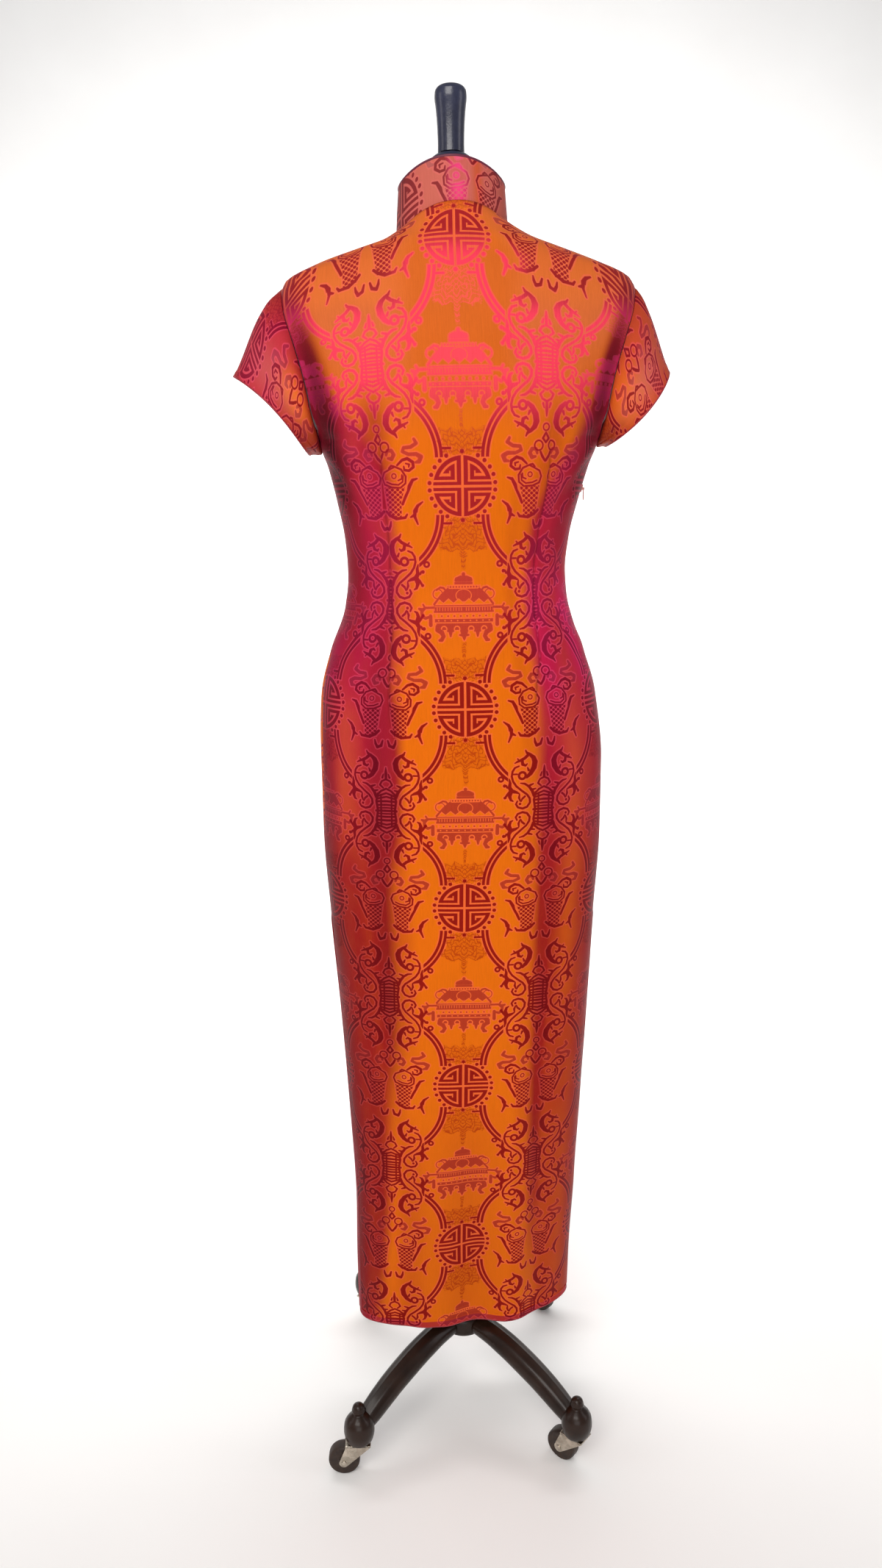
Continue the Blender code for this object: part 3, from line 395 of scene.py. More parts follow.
def tones(across, z):
    """Painted light and shade at a share across the body and a height: turn, flash, shade, glint and light
    haze.
    """
    left = smooth(*zip(*TURN_LEFT), z)
    right = smooth(*zip(*TURN_RIGHT), z)
    start = np.where(across > 0, left, right)
    # painted crimson turn towards the sides, as the cloth curves away from the light and the eye
    turn = 0.85 * ramp(np.abs(across), start - 0.03, start + 0.10)
    low = 1 - ramp(z, 0.2, 0.75)
    turn = turn * (1 - 0.25 * low * np.where(across < 0, 1, 0.2))
    # a painted pink flash, only above the hips
    flash = 0.42 * turn * ramp(z, 0.70, 1.02)
    beside = ramp(np.abs(across), 0.22, 0.42)
    # painted shade: a little at the skirt's foot, and on the shoulders beside the neck
    shade = 0.08 * low + 0.10 * ramp(z, 1.38, 1.45) * beside
    # painted highlight: the figure is painted lit pink from the shoulder blades on, but not at the neck seam
    # or along the shoulders
    glint = 0.14 * ramp(z, 1.00, 1.12) + 0.86 * ramp(z, 1.26, 1.34)
    glint = glint * (1 - 0.85 * ramp(z, 1.445, 1.48)) * (1 - 0.9 * ramp(z, 1.385, 1.42) * beside)
    # a painted pale haze of light over the upper back, stronger towards the sides
    veil = (0.04 + 0.10 * beside) * ramp(z, 1.24, 1.42)
    made = np.stack([turn, flash, shade, glint, veil])
    for middle, half, z_from, z_to, *amounts in LIGHT_AND_SHADE_BANDS:
        soft = 0.22 * (z_to - z_from)
        window = ramp(z, z_from - soft, z_from + soft) * (1 - ramp(z, z_to - soft, z_to + soft))
        made[:4] += np.array(amounts).reshape(-1, *[1] * made[0].ndim) * bump(across, middle, half) * window
    made = np.clip(made, 0, 1)
    # the painted haze thins where painted shade or the crimson turn is strong
    made[4] *= (1 - made[2]) ** 3 * (1 - 0.6 * made[0])
    return made


hips = tones(np.array([0.0, 0.95]), np.array([0.9, 0.9]))
print("tone at the centre of the hips and at their edge:", hips.round(2).T.tolist())

# %% [markdown]
# ## Brocade: a chart drawn with distances
#
# A jacquard pattern is charted once and repeated up and across the bolt. Here the chart is a
# list of strokes in centimetres, and the material measures how far each spot of cloth is from
# the nearest stroke: inside a stroke lies the dark figure, and just outside it a salmon line
# where the two wefts change places. Distances stay crisp at any size, which a picture doesn't.
# Most of the pattern mirrors left to right and top to bottom, so folding the cloth's
# coordinates first means that a quarter of it is enough.

# %% Numbers that a material works out
class Reading:
    """A number or a place that a material reads on the cloth, with sums written as plain Python."""

    def __init__(self, tree, socket):
        self.tree, self.socket = tree, socket

    def fed(self, kind, operation, inputs, output=0):
        node = self.tree.nodes.new(kind)
        node.operation = operation
        for socket, value in zip(node.inputs, inputs):
            if isinstance(value, Reading):
                self.tree.links.new(value.socket, socket)
            elif value is not None:
                socket.default_value = value
        return Reading(self.tree, node.outputs[output])

    def math(self, operation, *others):
        return self.fed("ShaderNodeMath", operation, (self, *others))

    def vector(self, operation, *others, output=0):
        return self.fed("ShaderNodeVectorMath", operation, (self, *others), output=output)

    def __add__(self, other): return self.math("ADD", other)
    def __sub__(self, other): return self.math("SUBTRACT", other)
    def __mul__(self, other): return self.math("MULTIPLY", other)
    def __abs__(self): return self.math("ABSOLUTE")
    def __neg__(self): return self.math("MULTIPLY", -1.0)
    def least(self, other): return self.math("MINIMUM", other)
    def most(self, other): return self.math("MAXIMUM", other)

    def away(self, x, y):
        """How far this place is from a point."""
        return self.vector("DISTANCE", (x, y, 0.0), output=1)

    def clamped(self):
        """Held between 0 and 1."""
        node = self.tree.nodes.new("ShaderNodeClamp")
        self.tree.links.new(self.socket, node.inputs[0])
        return Reading(self.tree, node.outputs[0])

    def step(self, start, full):
        """0 before start, 1 past full, with a soft step between."""
        node = self.tree.nodes.new("ShaderNodeMapRange")
        node.interpolation_type = "SMOOTHSTEP"
        self.tree.links.new(self.socket, node.inputs["Value"])
        node.inputs["From Min"].default_value, node.inputs["From Max"].default_value = start, full
        return Reading(self.tree, node.outputs["Result"])


def place(x, y):
    """A place on the chart from two numbers."""
    node = x.tree.nodes.new("ShaderNodeCombineXYZ")
    for socket, value in zip(node.inputs, (x, y)):
        x.tree.links.new(value.socket, socket)
    return Reading(x.tree, node.outputs[0])


print("a chart is read with sums such as", [n for n in dir(Reading) if not n.startswith("_")][:6])


# %% Strokes, rings and bars
def pen_line():
    """A node group: how far a spot is from one straight pen line, or the nearest so far if that is less."""
    tree = bpy.data.node_groups.new("pen_line", "ShaderNodeTree")
    for name in ("Spot", "From", "Way", "Way over its square", "Half", "Growth", "Nearest"):
        kind = "Float" if name in ("Half", "Growth", "Nearest") else "Vector"
        tree.interface.new_socket(name, in_out="INPUT", socket_type="NodeSocket" + kind)
    tree.interface.new_socket("Nearest", in_out="OUTPUT", socket_type="NodeSocketFloat")
    given = tree.nodes.new("NodeGroupInput")
    spot, start, way, over, half, growth, nearest = (Reading(tree, socket) for socket in given.outputs[:7])
    local = spot.vector("SUBTRACT", start)
    along = local.vector("DOT_PRODUCT", over, output=1).clamped()
    reach = tree.nodes.new("ShaderNodeVectorMath")
    reach.operation = "SCALE"
    tree.links.new(way.socket, reach.inputs[0])
    tree.links.new(along.socket, reach.inputs["Scale"])
    off = local.vector("DISTANCE", Reading(tree, reach.outputs[0]), output=1)
    off = off - along.math("MULTIPLY_ADD", growth, half)
    made = tree.nodes.new("NodeGroupOutput")
    tree.links.new(off.least(nearest).socket, made.inputs[0])
    return tree


PEN_LINE, FAR, PEN_SPREAD = pen_line(), 50.0, 0.05


def stroke(spot, line, nearest=FAR):
    """How far the spot is from a pen line through (x, y, half width) points. It may join an earlier one."""
    for (x0, y0, w0), (x1, y1, w1) in zip(line, line[1:]):
        dx, dy = x1 - x0, y1 - y0
        square = dx * dx + dy * dy
        node = spot.tree.nodes.new("ShaderNodeGroup")
        node.node_tree = PEN_LINE
        spot.tree.links.new(spot.socket, node.inputs[0])
        values = (x0, y0, 0), (dx, dy, 0), (dx / square, dy / square, 0), w0 + PEN_SPREAD, w1 - w0
        for socket, value in zip(node.inputs[1:6], values):
            socket.default_value = value
        if isinstance(nearest, Reading):
            spot.tree.links.new(nearest.socket, node.inputs[6])
        else:
            node.inputs[6].default_value = nearest
        nearest = Reading(spot.tree, node.outputs[0])
    return nearest


def ring(spot, x, y, radius, half, nearest=None):
    off = abs(spot.away(x, y) - radius) - half
    return off if nearest is None else nearest.least(off)


def ball(spot, x, y, radius, nearest=None):
    off = spot.away(x, y) - radius
    return off if nearest is None else nearest.least(off)


def bar(x, y, x_low, x_high, y_low, y_high, nearest=None):
    """How far the spot (x, y) is from an upright box."""
    off_x = abs(x - (x_low + x_high) / 2) - (x_high - x_low) / 2
    off_y = abs(y - (y_low + y_high) / 2) - (y_high - y_low) / 2
    off = off_x.most(off_y)
    return off if nearest is None else nearest.least(off)


print("strokes, rings, balls and bars make up the chart")

# %% [markdown]
# ### What the chart holds
#
# It is the old vocabulary of festive silk: a round longevity sign in a ring of dots, two pairs
# of arcs that join it to scrolling cloud heads, a lidded censer between one sign and the next,
# a pair of fish with ribbons between the columns, and lotus leaves. These are common property
# of the weaving trade, drawn here afresh as plain strokes.

# %% The chart, in centimetres from the middle of a round sign
REPEAT_ACROSS, REPEAT_UP = 18.3, 24.4
AXIS = REPEAT_ACROSS / 2
# A quarter of the repeat: across from the sign's column, up or down from its row, half width of the pen.
SCROLLS = (
    ((6.08, 6.80, .05), (5.62, 6.98, .07), (5.35, 7.40, .08), (5.26, 8.00, .08), (5.42, 8.60, .08),
     (5.81, 9.20, .08), (6.49, 9.80, .08), (7.12, 10.3, .08), (7.45, 10.8, .09), (7.50, 11.3, .09),
     (7.15, 11.8, .09), (6.60, 11.97, .09), (6.05, 11.8, .08), (5.80, 11.4, .07), (5.95, 11.05, .06)),
    ((7.05, 8.15, .14), (7.50, 7.75, .22), (7.90, 7.05, .28), (8.00, 6.40, .28), (7.82, 5.90, .22),
     (7.42, 5.52, .14), (7.02, 5.28, .10), (6.85, 4.98, .03)),
    ((7.20, 5.50, .14), (6.78, 5.88, .13), (6.35, 6.10, .13), (5.95, 6.25, .08), (5.62, 6.42, .03)),
    ((6.45, 6.12, .13), (6.52, 6.60, .14), (6.85, 6.78, .08), (7.05, 6.60, .04)),
    ((6.12, 6.15, .05), (5.92, 5.92, .03)), ((7.25, 7.35, .10), (7.12, 7.05, .04)),
    ((5.45, 7.75, .05), (5.88, 7.75, .06)),
    ((4.98, 8.30, .03), (5.08, 8.80, .12), (5.02, 9.30, .17), (5.25, 9.75, .22), (5.80, 9.92, .12),
     (6.15, 10.1, .04)),
    ((5.10, 9.35, .12), (4.75, 9.30, .08), (4.62, 9.05, .06)),
    ((5.20, 9.75, .17), (4.85, 10.1, .12), (4.62, 10.4, .08)),
    ((5.22, 9.85, .18), (5.05, 10.4, .16), (5.20, 10.85, .10), (5.45, 11.0, .03)),
    ((6.20, 10.2, .04), (6.15, 10.6, .09), (6.30, 11.0, .05)),
    ((6.85, 10.5, .08), (6.55, 10.75, .08), (6.40, 11.1, .03)),
    ((6.30, 8.85, .03), (6.80, 8.95, .08), (7.30, 9.30, .10), (7.75, 9.90, .14), (7.95, 10.5, .12)),
    ((7.45, 9.20, .10), (7.85, 9.05, .04)), ((7.75, 9.75, .10), (8.15, 9.65, .04)),
    ((1.25, 3.85, .07), (2.10, 3.85, .07)), ((4.30, 8.02, .06), (4.12, 7.95, .06)),
)
PAVILION = (  # across from the column between the signs, up or down from their row
    ((0.0, 6.9, .02), (0.0, 7.6, .14), (0.0, 8.3, .10)),
    ((0.0, 8.3, .08), (0.5, 8.55, .06), (0.72, 9.0, .07), (0.35, 9.35, .05)),
    ((0.30, 7.7, .03), (0.42, 8.1, .08)), ((0.0, 9.45, .07), (0.6, 9.75, .08), (1.0, 10.15, .08)),
    ((0.0, 10.0, .07), (0.9, 10.35, .08)), ((0.0, 10.45, .07), (1.05, 10.7, .08)),
    ((0.0, 11.0, .09), (1.15, 11.05, .09)), ((0.0, 11.45, .08), (1.1, 11.5, .08)),
    ((0.0, 12.2, .10), (1.2, 12.2, .10)), ((0.62, 10.2, .06), (0.62, 12.2, .06)),
    ((1.0, 10.1, .09), (1.18, 11.0, .09), (1.0, 12.2, .09)), ((0.0, 11.82, .05), (1.1, 11.86, .05)),
)
FISH = (  # across from the column between the signs, up from their row
    ((1.24, 1.81, .04), (1.89, 2.10, .05), (2.60, 1.81, .06), (3.08, 1.10, .06), (3.03, 0.39, .05),
     (2.46, -.06, .05), (1.46, 0.00, .05), (0.67, 0.31, .05), (0.43, 0.96, .05), (0.67, 1.53, .05),
     (1.24, 1.81, .04)),
    ((2.80, 1.15, .03), (2.72, 0.55, .04), (2.25, 0.25, .04), (1.50, 0.32, .04), (0.95, 0.55, .03)),
    ((1.24, 1.95, .05), (1.50, 2.20, .06), (1.80, 2.15, .04)),
    ((2.24, 0.70, .03), (2.62, 0.85, .04), (2.66, 1.25, .04)),
    ((2.17, 2.24, .06), (2.74, 2.74, .10), (3.31, 2.89, .12), (3.89, 2.53, .12), (3.96, 2.03, .10),
     (3.46, 1.67, .09), (2.96, 1.74, .08), (2.90, 2.10, .04)),
    ((3.12, 2.40, .03), (3.50, 2.30, .06), (3.45, 2.05, .04)),
    ((4.31, 0.86, .04), (3.80, 0.70, .12), (3.46, 0.10, .16), (3.30, -.40, .10), (2.96, -1.04, .11),
     (2.64, -1.76, .10)),
    ((4.85, -1.55, .03), (4.31, -1.95, .12), (3.98, -2.50, .16), (3.96, -3.10, .12), (4.28, -3.90, .04)),
    ((3.50, -3.15, .04), (3.90, -2.95, .14)), ((4.30, -2.00, .05), (4.20, -2.60, .03)),
    ((0.74, -2.55, .10), (1.17, -2.95, .12), (1.89, -3.30, .12), (2.89, -3.19, .10), (3.12, -2.85, .05)),
    ((0.31, -3.70, .06), (0.50, -4.30, .12), (0.96, -4.47, .13), (1.17, -4.04, .10), (1.24, -3.62, .04)),
    ((0.05, 2.55, .08), (0.40, 3.00, .10), (0.60, 3.40, .08)),
    ((0.0, 4.35, .06), (0.35, 4.75, .08), (0.0, 5.30, .06)),
)
RIBBONS = (  # the paler ribbons over each pair of fish
    ((4.10, 4.80, .10), (4.34, 4.39, .14), (3.74, 4.03, .14), (2.96, 3.96, .13), (2.81, 3.60, .12),
     (3.46, 3.31, .13), (4.31, 3.31, .16), (4.78, 3.03, .20), (4.60, 2.58, .17), (4.20, 2.50, .08)),
    ((1.00, 3.30, .10), (1.15, 3.70, .13), (1.60, 3.72, .14), (1.85, 3.30, .16), (1.60, 2.88, .16),
     (1.20, 2.95, .08)),
)
CENSER = (  # across from the signs' column, up from the lower of two signs
    ((0.0, 15.05, .14), (0.0, 14.8, .12)), ((0.30, 14.62, .22), (0.72, 14.46, .20)),
    ((0.0, 14.45, .20), (0.82, 14.38, .12)),
    ((1.74, 13.45, .06), (2.45, 12.8, .06), (2.95, 12.2, .06), (3.25, 11.8, .07)),
    ((1.92, 13.2, .05), (2.20, 13.55, .06), (2.55, 13.62, .06), (3.0, 13.35, .05)),
    ((3.3, 11.42, .07), (4.24, 11.40, .08), (4.60, 11.15, .18), (4.95, 11.30, .08)),
    ((4.35, 11.5, .05), (4.50, 11.75, .05)),
    ((4.67, 11.0, .12), (4.60, 10.45, .13), (4.25, 10.25, .12), (3.75, 10.42, .08)),
    ((3.69, 10.5, .14), (3.69, 9.5, .16)),
    ((2.95, 9.35, .16), (2.95, 8.95, .20), (2.50, 8.70, .22), (2.28, 8.25, .16), (2.50, 7.85, .17),
     (2.72, 7.80, .10)),
    ((0.0, 8.60, .34), (0.0, 8.05, .12), (0.0, 7.85, .03)), ((0.0, 8.35, .16), (0.48, 8.38, .05)),
    ((1.50, 8.75, .18), (1.50, 8.25, .05)),
)
pen_lines = sum(map(len, (SCROLLS, PAVILION, FISH, RIBBONS, CENSER)))
print(f"the repeat is {REPEAT_ACROSS} by {REPEAT_UP} cm, with {pen_lines} pen lines")


# %% Folding the cloth and drawing the figure on it
def new_material(name):
    made = bpy.data.materials.new(name)
    made.use_nodes = True
    return made, made.node_tree, made.node_tree.nodes["Principled BSDF"]


def cut_coordinates(tree):
    """Centimetres across and up the flat cut of the cloth."""
    uv = tree.nodes.new("ShaderNodeUVMap")
    uv.uv_map = "cut"
    split = tree.nodes.new("ShaderNodeSeparateXYZ")
    tree.links.new(uv.outputs[0], split.inputs[0])
    return (Reading(tree, split.outputs[i]) * 100.0 for i in (0, 1))


def round_sign(across, up, out):
    """The round longevity sign: a disc whose light bands leave a fret in each quarter."""
    light = across.least(up) - 0.16
    light = light.least((abs(up - 0.57) - 0.13).most(-(across - 0.55)))
    light = light.least((abs(across - 0.70) - 0.13).most(-(up - 0.45)).most(out - 2.72))
    light = light.least((abs(out - 2.57) - 0.14).most(-(up - 1.0)).most(-(across - 0.55)))
    light = light.least((abs(up - 1.18) - 0.17).most(-(across - 1.25)).most(out - 2.6))
    light = bar(across, up, 1.22, 1.42, 1.0, 1.62, light)
    return (out - 3.1).most(-light) - 0.025


DOT_RING = 3.52  # centimetres from the sign's middle


def dots_round(across, up, out):
    """Dots all round the sign, closer at its sides than over its top."""
    angle = across.math("ARCTAN2", up)
    off_ring = out - DOT_RING
    step = math.radians(13.9)
    swing = (angle - math.radians(28.2)).math("PINGPONG", step / 2)
    over_top = (angle * -8.0) + 8.0 * math.radians(21)
    side_dots = place(swing * DOT_RING, off_ring).vector("LENGTH", output=1).most(over_top)
    top_dot = place(angle * DOT_RING, off_ring).vector("LENGTH", output=1)
    return side_dots.least(top_dot) - 0.22


def figure(across, up):
    """Distances to the dark figure, the half dark censers and ribbons, the leaves and the fishes' bodies."""
    a = across.math("PINGPONG", AXIS)
    c = up.math("PINGPONG", REPEAT_UP / 2)
    b = up.math("WRAP", REPEAT_UP / 2, -REPEAT_UP / 2)
    w = up.math("WRAP", REPEAT_UP, 0.0)
    e = -(a - AXIS)
    quarter = place(a, c)
    out = quarter.vector("LENGTH", output=1)
    dark = round_sign(a, c, out).least(dots_round(a, c, out))
    arcs = quarter.away(AXIS, 2.9)
    pair = (abs(arcs - 6.97) - 0.17).least(abs(arcs - 6.46) - 0.17)
    dark = dark.least(pair.most(-(c - 2.95)).most(a - 4.85))
    dark = ring(quarter, 4.02, 8.28, 0.26, 0.12, dark)
    dark = ring(quarter, 6.50, 7.95, 0.40, 0.15, dark)
    for x, y, radius in ((4.45, 9.08, .20), (4.52, 10.55, .18), (6.28, 11.38, .16)):
        dark = ball(quarter, x, y, radius, dark)
    for line in SCROLLS:
        dark = stroke(quarter, line, dark)
    column = place(e, c)
    for line in PAVILION:
        dark = stroke(column, line, dark)
    pair_spot = place(e, b)
    for line in FISH:
        dark = stroke(pair_spot, line, dark)
    dark = ring(pair_spot, 1.77, 1.15, 0.24, 0.06, dark)
    dark = ring(pair_spot, 0.83, 4.05, 0.48, 0.09, dark)
    dark = ring(pair_spot, 0.0, 5.85, 0.34, 0.08, dark)
    body = fish_body(e, b)
    dark = dark.least(scales(e, b).most(body))
    soft = stroke(pair_spot, RIBBONS[0])
    soft = stroke(pair_spot, RIBBONS[1], soft)
    tall = place(a, w)
    for line in CENSER:
        soft = stroke(tall, line, soft)
    return dark, soft.least(censer_body(a, w, tall)), leaves(a, b, c), body


def fish_body(e, b):
    """A fish's scaled side, which tapers to its tail."""
    right = b.math("MULTIPLY_ADD", 0.30, 2.95).most(2.50)
    left = b.math("MULTIPLY_ADD", -0.143, 0.62)
    return (e - right).most(left - e).most(b).most(-(b + 3.15))


SCALE_ACROSS, SCALE_UP = 0.61, 0.52  # centimetres from scale to scale, and from a row to the next but one


def scales(e, b):
    """Rows of fat dots, each row set half a step along."""
    one, two = (e.math("MULTIPLY_ADD", 1 / SCALE_ACROSS, b * (way / SCALE_UP)).math("PINGPONG", 0.5)
                for way in (1, -1))
    return (place(one, two).vector("LENGTH", output=1) - 0.43) * 0.45


def censer_body(a, w, spot):
    """The censer: lid rim, beads, sloping shoulder with lappets, fret band, bowl and curled base."""
    band = bar(a, w, -1, 1.0, 13.93, 14.2)
    beads = place((a - 0.16).math("PINGPONG", 0.16), w - 13.66).vector("LENGTH", output=1) - 0.10
    band = band.least(beads.most(a - 1.75))
    teeth = a.math("PINGPONG", 0.56)
    slope = (a - (w * -0.89 + 13.72)).most(w - 13.45).most(-(w - 11.95 - teeth * 0.85))
    heart = abs(place(a, (w - 12.72) * 1.25).vector("LENGTH", output=1) - 0.85) - 0.05
    band = band.least(slope.most(-heart))
    fret = bar(a, w, -1, 3.32, 10.86, 11.68)
    holes = bar((a - 0.1).math("PINGPONG", 0.30), w, 0.12, 0.20, 11.05, 11.42)
    band = band.least(fret.most(-holes).most(-(abs(w - 11.52) - 0.045)))
    studs = place((a - 0.35).math("PINGPONG", 0.35), w - 10.48).vector("LENGTH", output=1) - 0.10
    band = band.least(studs.most(a - 3.0))
    rim = bar(a, w, -1, 3.22, 9.80, 10.16)
    pearls = place(a.math("PINGPONG", 0.35), w - 9.98).vector("LENGTH", output=1) - 0.09
    band = band.least(rim.most(-pearls))
    base = bar(a, w, -1, 3.05, 8.72, 9.68)
    curl_spot = place((a - 0.78).math("PINGPONG", 0.72), w - 9.05)
    curls = abs(curl_spot.vector("LENGTH", output=1) - 0.30) - 0.07
    gaps = bar((a - 0.78).math("PINGPONG", 0.72), w, -0.3, 0.34, 8.4, 8.95)
    band = band.least(base.most(-curls).most(-gaps))
    return ring(spot, 2.86, 12.9, 0.52, 0.05, band)


def leaves(a, b, c):
    """Lotus flowers under and over each sign, and a wave whose crests are the edges of their petals."""
    over = (a - (c * 0.42 + 0.55).least(2.3)).most(c - 5.8).most(-(c - 3.2)).most(-b)
    under = (a - (c * 0.30 + 0.75).least(2.5)).most(c - 6.9).most(-(c - 3.2)).most(b)
    spear = (a - 0.16).most(c - 7.4).most(-(c - 5.7)).most(-b)
    stalk = (a - (c * -0.17 + 1.60)).most(c - 8.8).most(-(c - 6.8)).most(b)
    angle = a.math("ARCTAN2", c - 2.6)
    petal = (angle * 3.2).math("PINGPONG", 0.5)
    side = place(a, c - 5.6)
    reach = place(a * 0.8, c - 2.6).vector("LENGTH", output=1) + petal * 0.9
    other = (side.vector("LENGTH", output=1) + (a * 0.9).math("PINGPONG", 0.5) * 0.8)
    return over.least(under).least(spear.least(stalk)) + (petal - 0.2) * 0.7, reach * 2.0, other * 1.7


print("the figure is drawn by", figure.__name__, "and is folded to a quarter of the repeat")

# %% [markdown]
# ### The silk itself
#
# Real satin brocade has three finishes in one cloth: a smooth ground, figure floats that catch
# the light, and fine slubs where a thread thickens. The material mixes them by the chart's
# distances, then adds slubs that run with the threads, a bump of fine twill, and a pink sheen
# that stands for the crimson weft seen edge on. The sheen's own numbers are set straight on
# the shader, since they are the same all over.

# %% Silk brocade
# Colours of each part of the pattern under painted light: plain where it faces the eye, turned to
# crimson as it curves away, flashed pink by a painted highlight, and in painted shade towards wine.
# The lit row is the figure painted lit pink.
SILK = {
    "ground": ("#E06A0A", "#9C1E18", "#C61A52", "#560C18"),
    "edge": ("#F0643A", "#B83A32", "#E83C78", "#7A1E30"),
    "leaf": ("#B23C08", "#7E100A", "#A01444", "#46060E"),
    "figure": ("#860408", "#6C040C", "#840A34", "#36030E"),
    "lit": ("#F23A58", "#E0305A", "#F63C90", "#A62050"),
}
# Painted highlight: where the figure is painted lit pink, the ground around it is painted browner.
GROUND_BY_GLINT = "#C65A18"  # the orange browns a little where the figure lights up
LIGHT_HAZE = "#D88C84"  # pale mauve, where the crimson weft meets the light edge on


def colour(code):
    """A linear colour from a web code."""
    parts = [int(code[i:i + 2], 16) / 255 for i in (1, 3, 5)]
    return (*[p / 12.92 if p <= 0.04045 else ((p + 0.055) / 1.055) ** 2.4 for p in parts], 1.0)


def mixed(tree, share, one, other):
    """One colour turning into the other as share goes from 0 to 1."""
    node = tree.nodes.new("ShaderNodeMix")
    node.data_type = "RGBA"
    for socket, value in ((node.inputs[0], share), (node.inputs[6], one), (node.inputs[7], other)):
        if isinstance(value, Reading):
            tree.links.new(value.socket, socket)
        else:
            socket.default_value = value
    return Reading(tree, node.outputs[2])


def toned(tree, part, turn, flash, shade):
    plain, turned, flashed, shaded = (colour(code) for code in SILK[part])
    return mixed(tree, shade, mixed(tree, flash, mixed(tree, turn, plain, turned), flashed), shaded)


def noise(tree, spot, scale, detail=2.0, rough=0.5, stretch=None):
    if stretch is not None:
        spot = spot.vector("MULTIPLY", stretch)
    node = tree.nodes.new("ShaderNodeTexNoise")
    node.inputs["Scale"].default_value, node.inputs["Detail"].default_value = scale, detail
    node.inputs["Roughness"].default_value = rough
    tree.links.new(spot.socket, node.inputs["Vector"])
    return Reading(tree, node.outputs[0])


def bumped(tree, height, shader, strength, distance):
    node = tree.nodes.new("ShaderNodeBump")
    node.inputs["Strength"].default_value, node.inputs["Distance"].default_value = strength, distance
    tree.links.new(height.socket, node.inputs["Height"])
    tree.links.new(node.outputs[0], shader.inputs["Normal"])


def make_silk():
    made, tree, shader = new_material("silk_brocade")
    across, up = cut_coordinates(tree)
    spot = place(across, up)
    # the painted light and shade stored on the cloth: turn, flash, shade and glint
    tone = tree.nodes.new("ShaderNodeAttribute")
    tone.attribute_name = "tone"
    split = tree.nodes.new("ShaderNodeSeparateColor")
    tree.links.new(tone.outputs["Color"], split.inputs[0])
    turn, flash, shade = (Reading(tree, split.outputs[i]) for i in range(3))
    glint = Reading(tree, tone.outputs["Alpha"])

    slub = noise(tree, spot, 1.0, 4.0, 0.65, (9.0, 0.35, 1.0))
    cloud = noise(tree, spot, 0.22, 3.0, 0.5)
    turn_here = (turn + (cloud - 0.5) * 0.30 + (slub - 0.5) * 0.24).clamped()

    dark, soft, (leaf, petal_edge, petal_rib), scaled = figure(across, up)
    grain = noise(tree, spot, 1.6, 3.0, 0.6)
    ripple = (petal_edge + grain * 1.1).math("PINGPONG", 0.5)
    ripple = ripple.most((petal_rib + grain * 0.9).math("PINGPONG", 0.5))
    leaf_share = (leaf + (grain - 0.5) * 1.1).step(0.06, -0.06)
    leaf_dark = (ripple.step(0.33, 0.45) * 0.72 + 0.28) * leaf_share
    halo = dark.least(soft).step(0.19, 0.10).most(scaled.step(0.10, 0.02))
    inside = dark.step(0.035, -0.035)
    half_inside = soft.step(0.035, -0.035)

    ground = toned(tree, "ground", turn_here, flash, shade)
    # where the painted highlight lies, the ground is painted browner and the edges and figure lit pink
    ground = mixed(tree, glint * (-(turn_here - 1.0)) * 0.6, ground, colour(GROUND_BY_GLINT))
    edge = mixed(tree, glint * 0.45, toned(tree, "edge", turn_here, flash, shade),
                 toned(tree, "lit", turn_here, flash, shade))
    leaf_tone = toned(tree, "leaf", turn_here, flash, shade)
    deep = mixed(tree, glint, toned(tree, "figure", turn_here, flash, shade),
                 toned(tree, "lit", turn_here, flash, shade))
    woven = mixed(tree, halo * 0.72, ground, edge)
    woven = mixed(tree, leaf_dark * 0.9, woven, mixed(tree, glint, leaf_tone, edge))
    woven = mixed(tree, half_inside * 0.95, woven, mixed(tree, 0.26, deep, edge))
    woven = mixed(tree, inside * 0.95, woven, deep)
    # a painted pale haze of light, kept mostly off the dark figure
    veil = tree.nodes.new("ShaderNodeAttribute")
    veil.attribute_name = "veil"
    woven = mixed(tree, Reading(tree, veil.outputs["Fac"]) * (-(inside * 0.75 - 1.0)), woven, colour(LIGHT_HAZE))
    light = tree.nodes.new("ShaderNodeHueSaturation")
    tree.links.new(woven.socket, light.inputs["Color"])
    tree.links.new((slub * 0.34 + cloud * 0.14 + 0.76).socket, light.inputs["Value"])
    tree.links.new(light.outputs[0], shader.inputs["Base Color"])
    tree.links.new((inside * -0.08 + slub * 0.16 + 0.40).socket, shader.inputs["Roughness"])
    twill = noise(tree, place(across + up * 0.35, up), 1.0, 2.0, 0.6, (42.0, 9.0, 1.0))
    bumped(tree, twill + slub * 1.4, shader, 0.32, 0.0004)
    shader.inputs["Sheen Weight"].default_value = 0.03
    shader.inputs["Sheen Roughness"].default_value = 0.35
    shader.inputs["Sheen Tint"].default_value = (1.0, 0.16, 0.34, 1.0)
    shader.inputs["Specular IOR Level"].default_value = 0.06
    shader.inputs["Specular Tint"].default_value = (1.0, 0.55, 0.5, 1.0)
    return made


silk = make_silk()
print("the brocade has", len(silk.node_tree.nodes), "nodes")

# %% [markdown]
# ### Lining, bias rolls and thread
#
# The dress is lined in plain crimson habotai, which shows only inside a hem or a sleeve. Its
# raw edges are finished with bias strips of crimson satin, rolled to about 2 mm. Bias cloth
# has its threads at 45 degrees, so a fine diagonal rib runs round each roll.

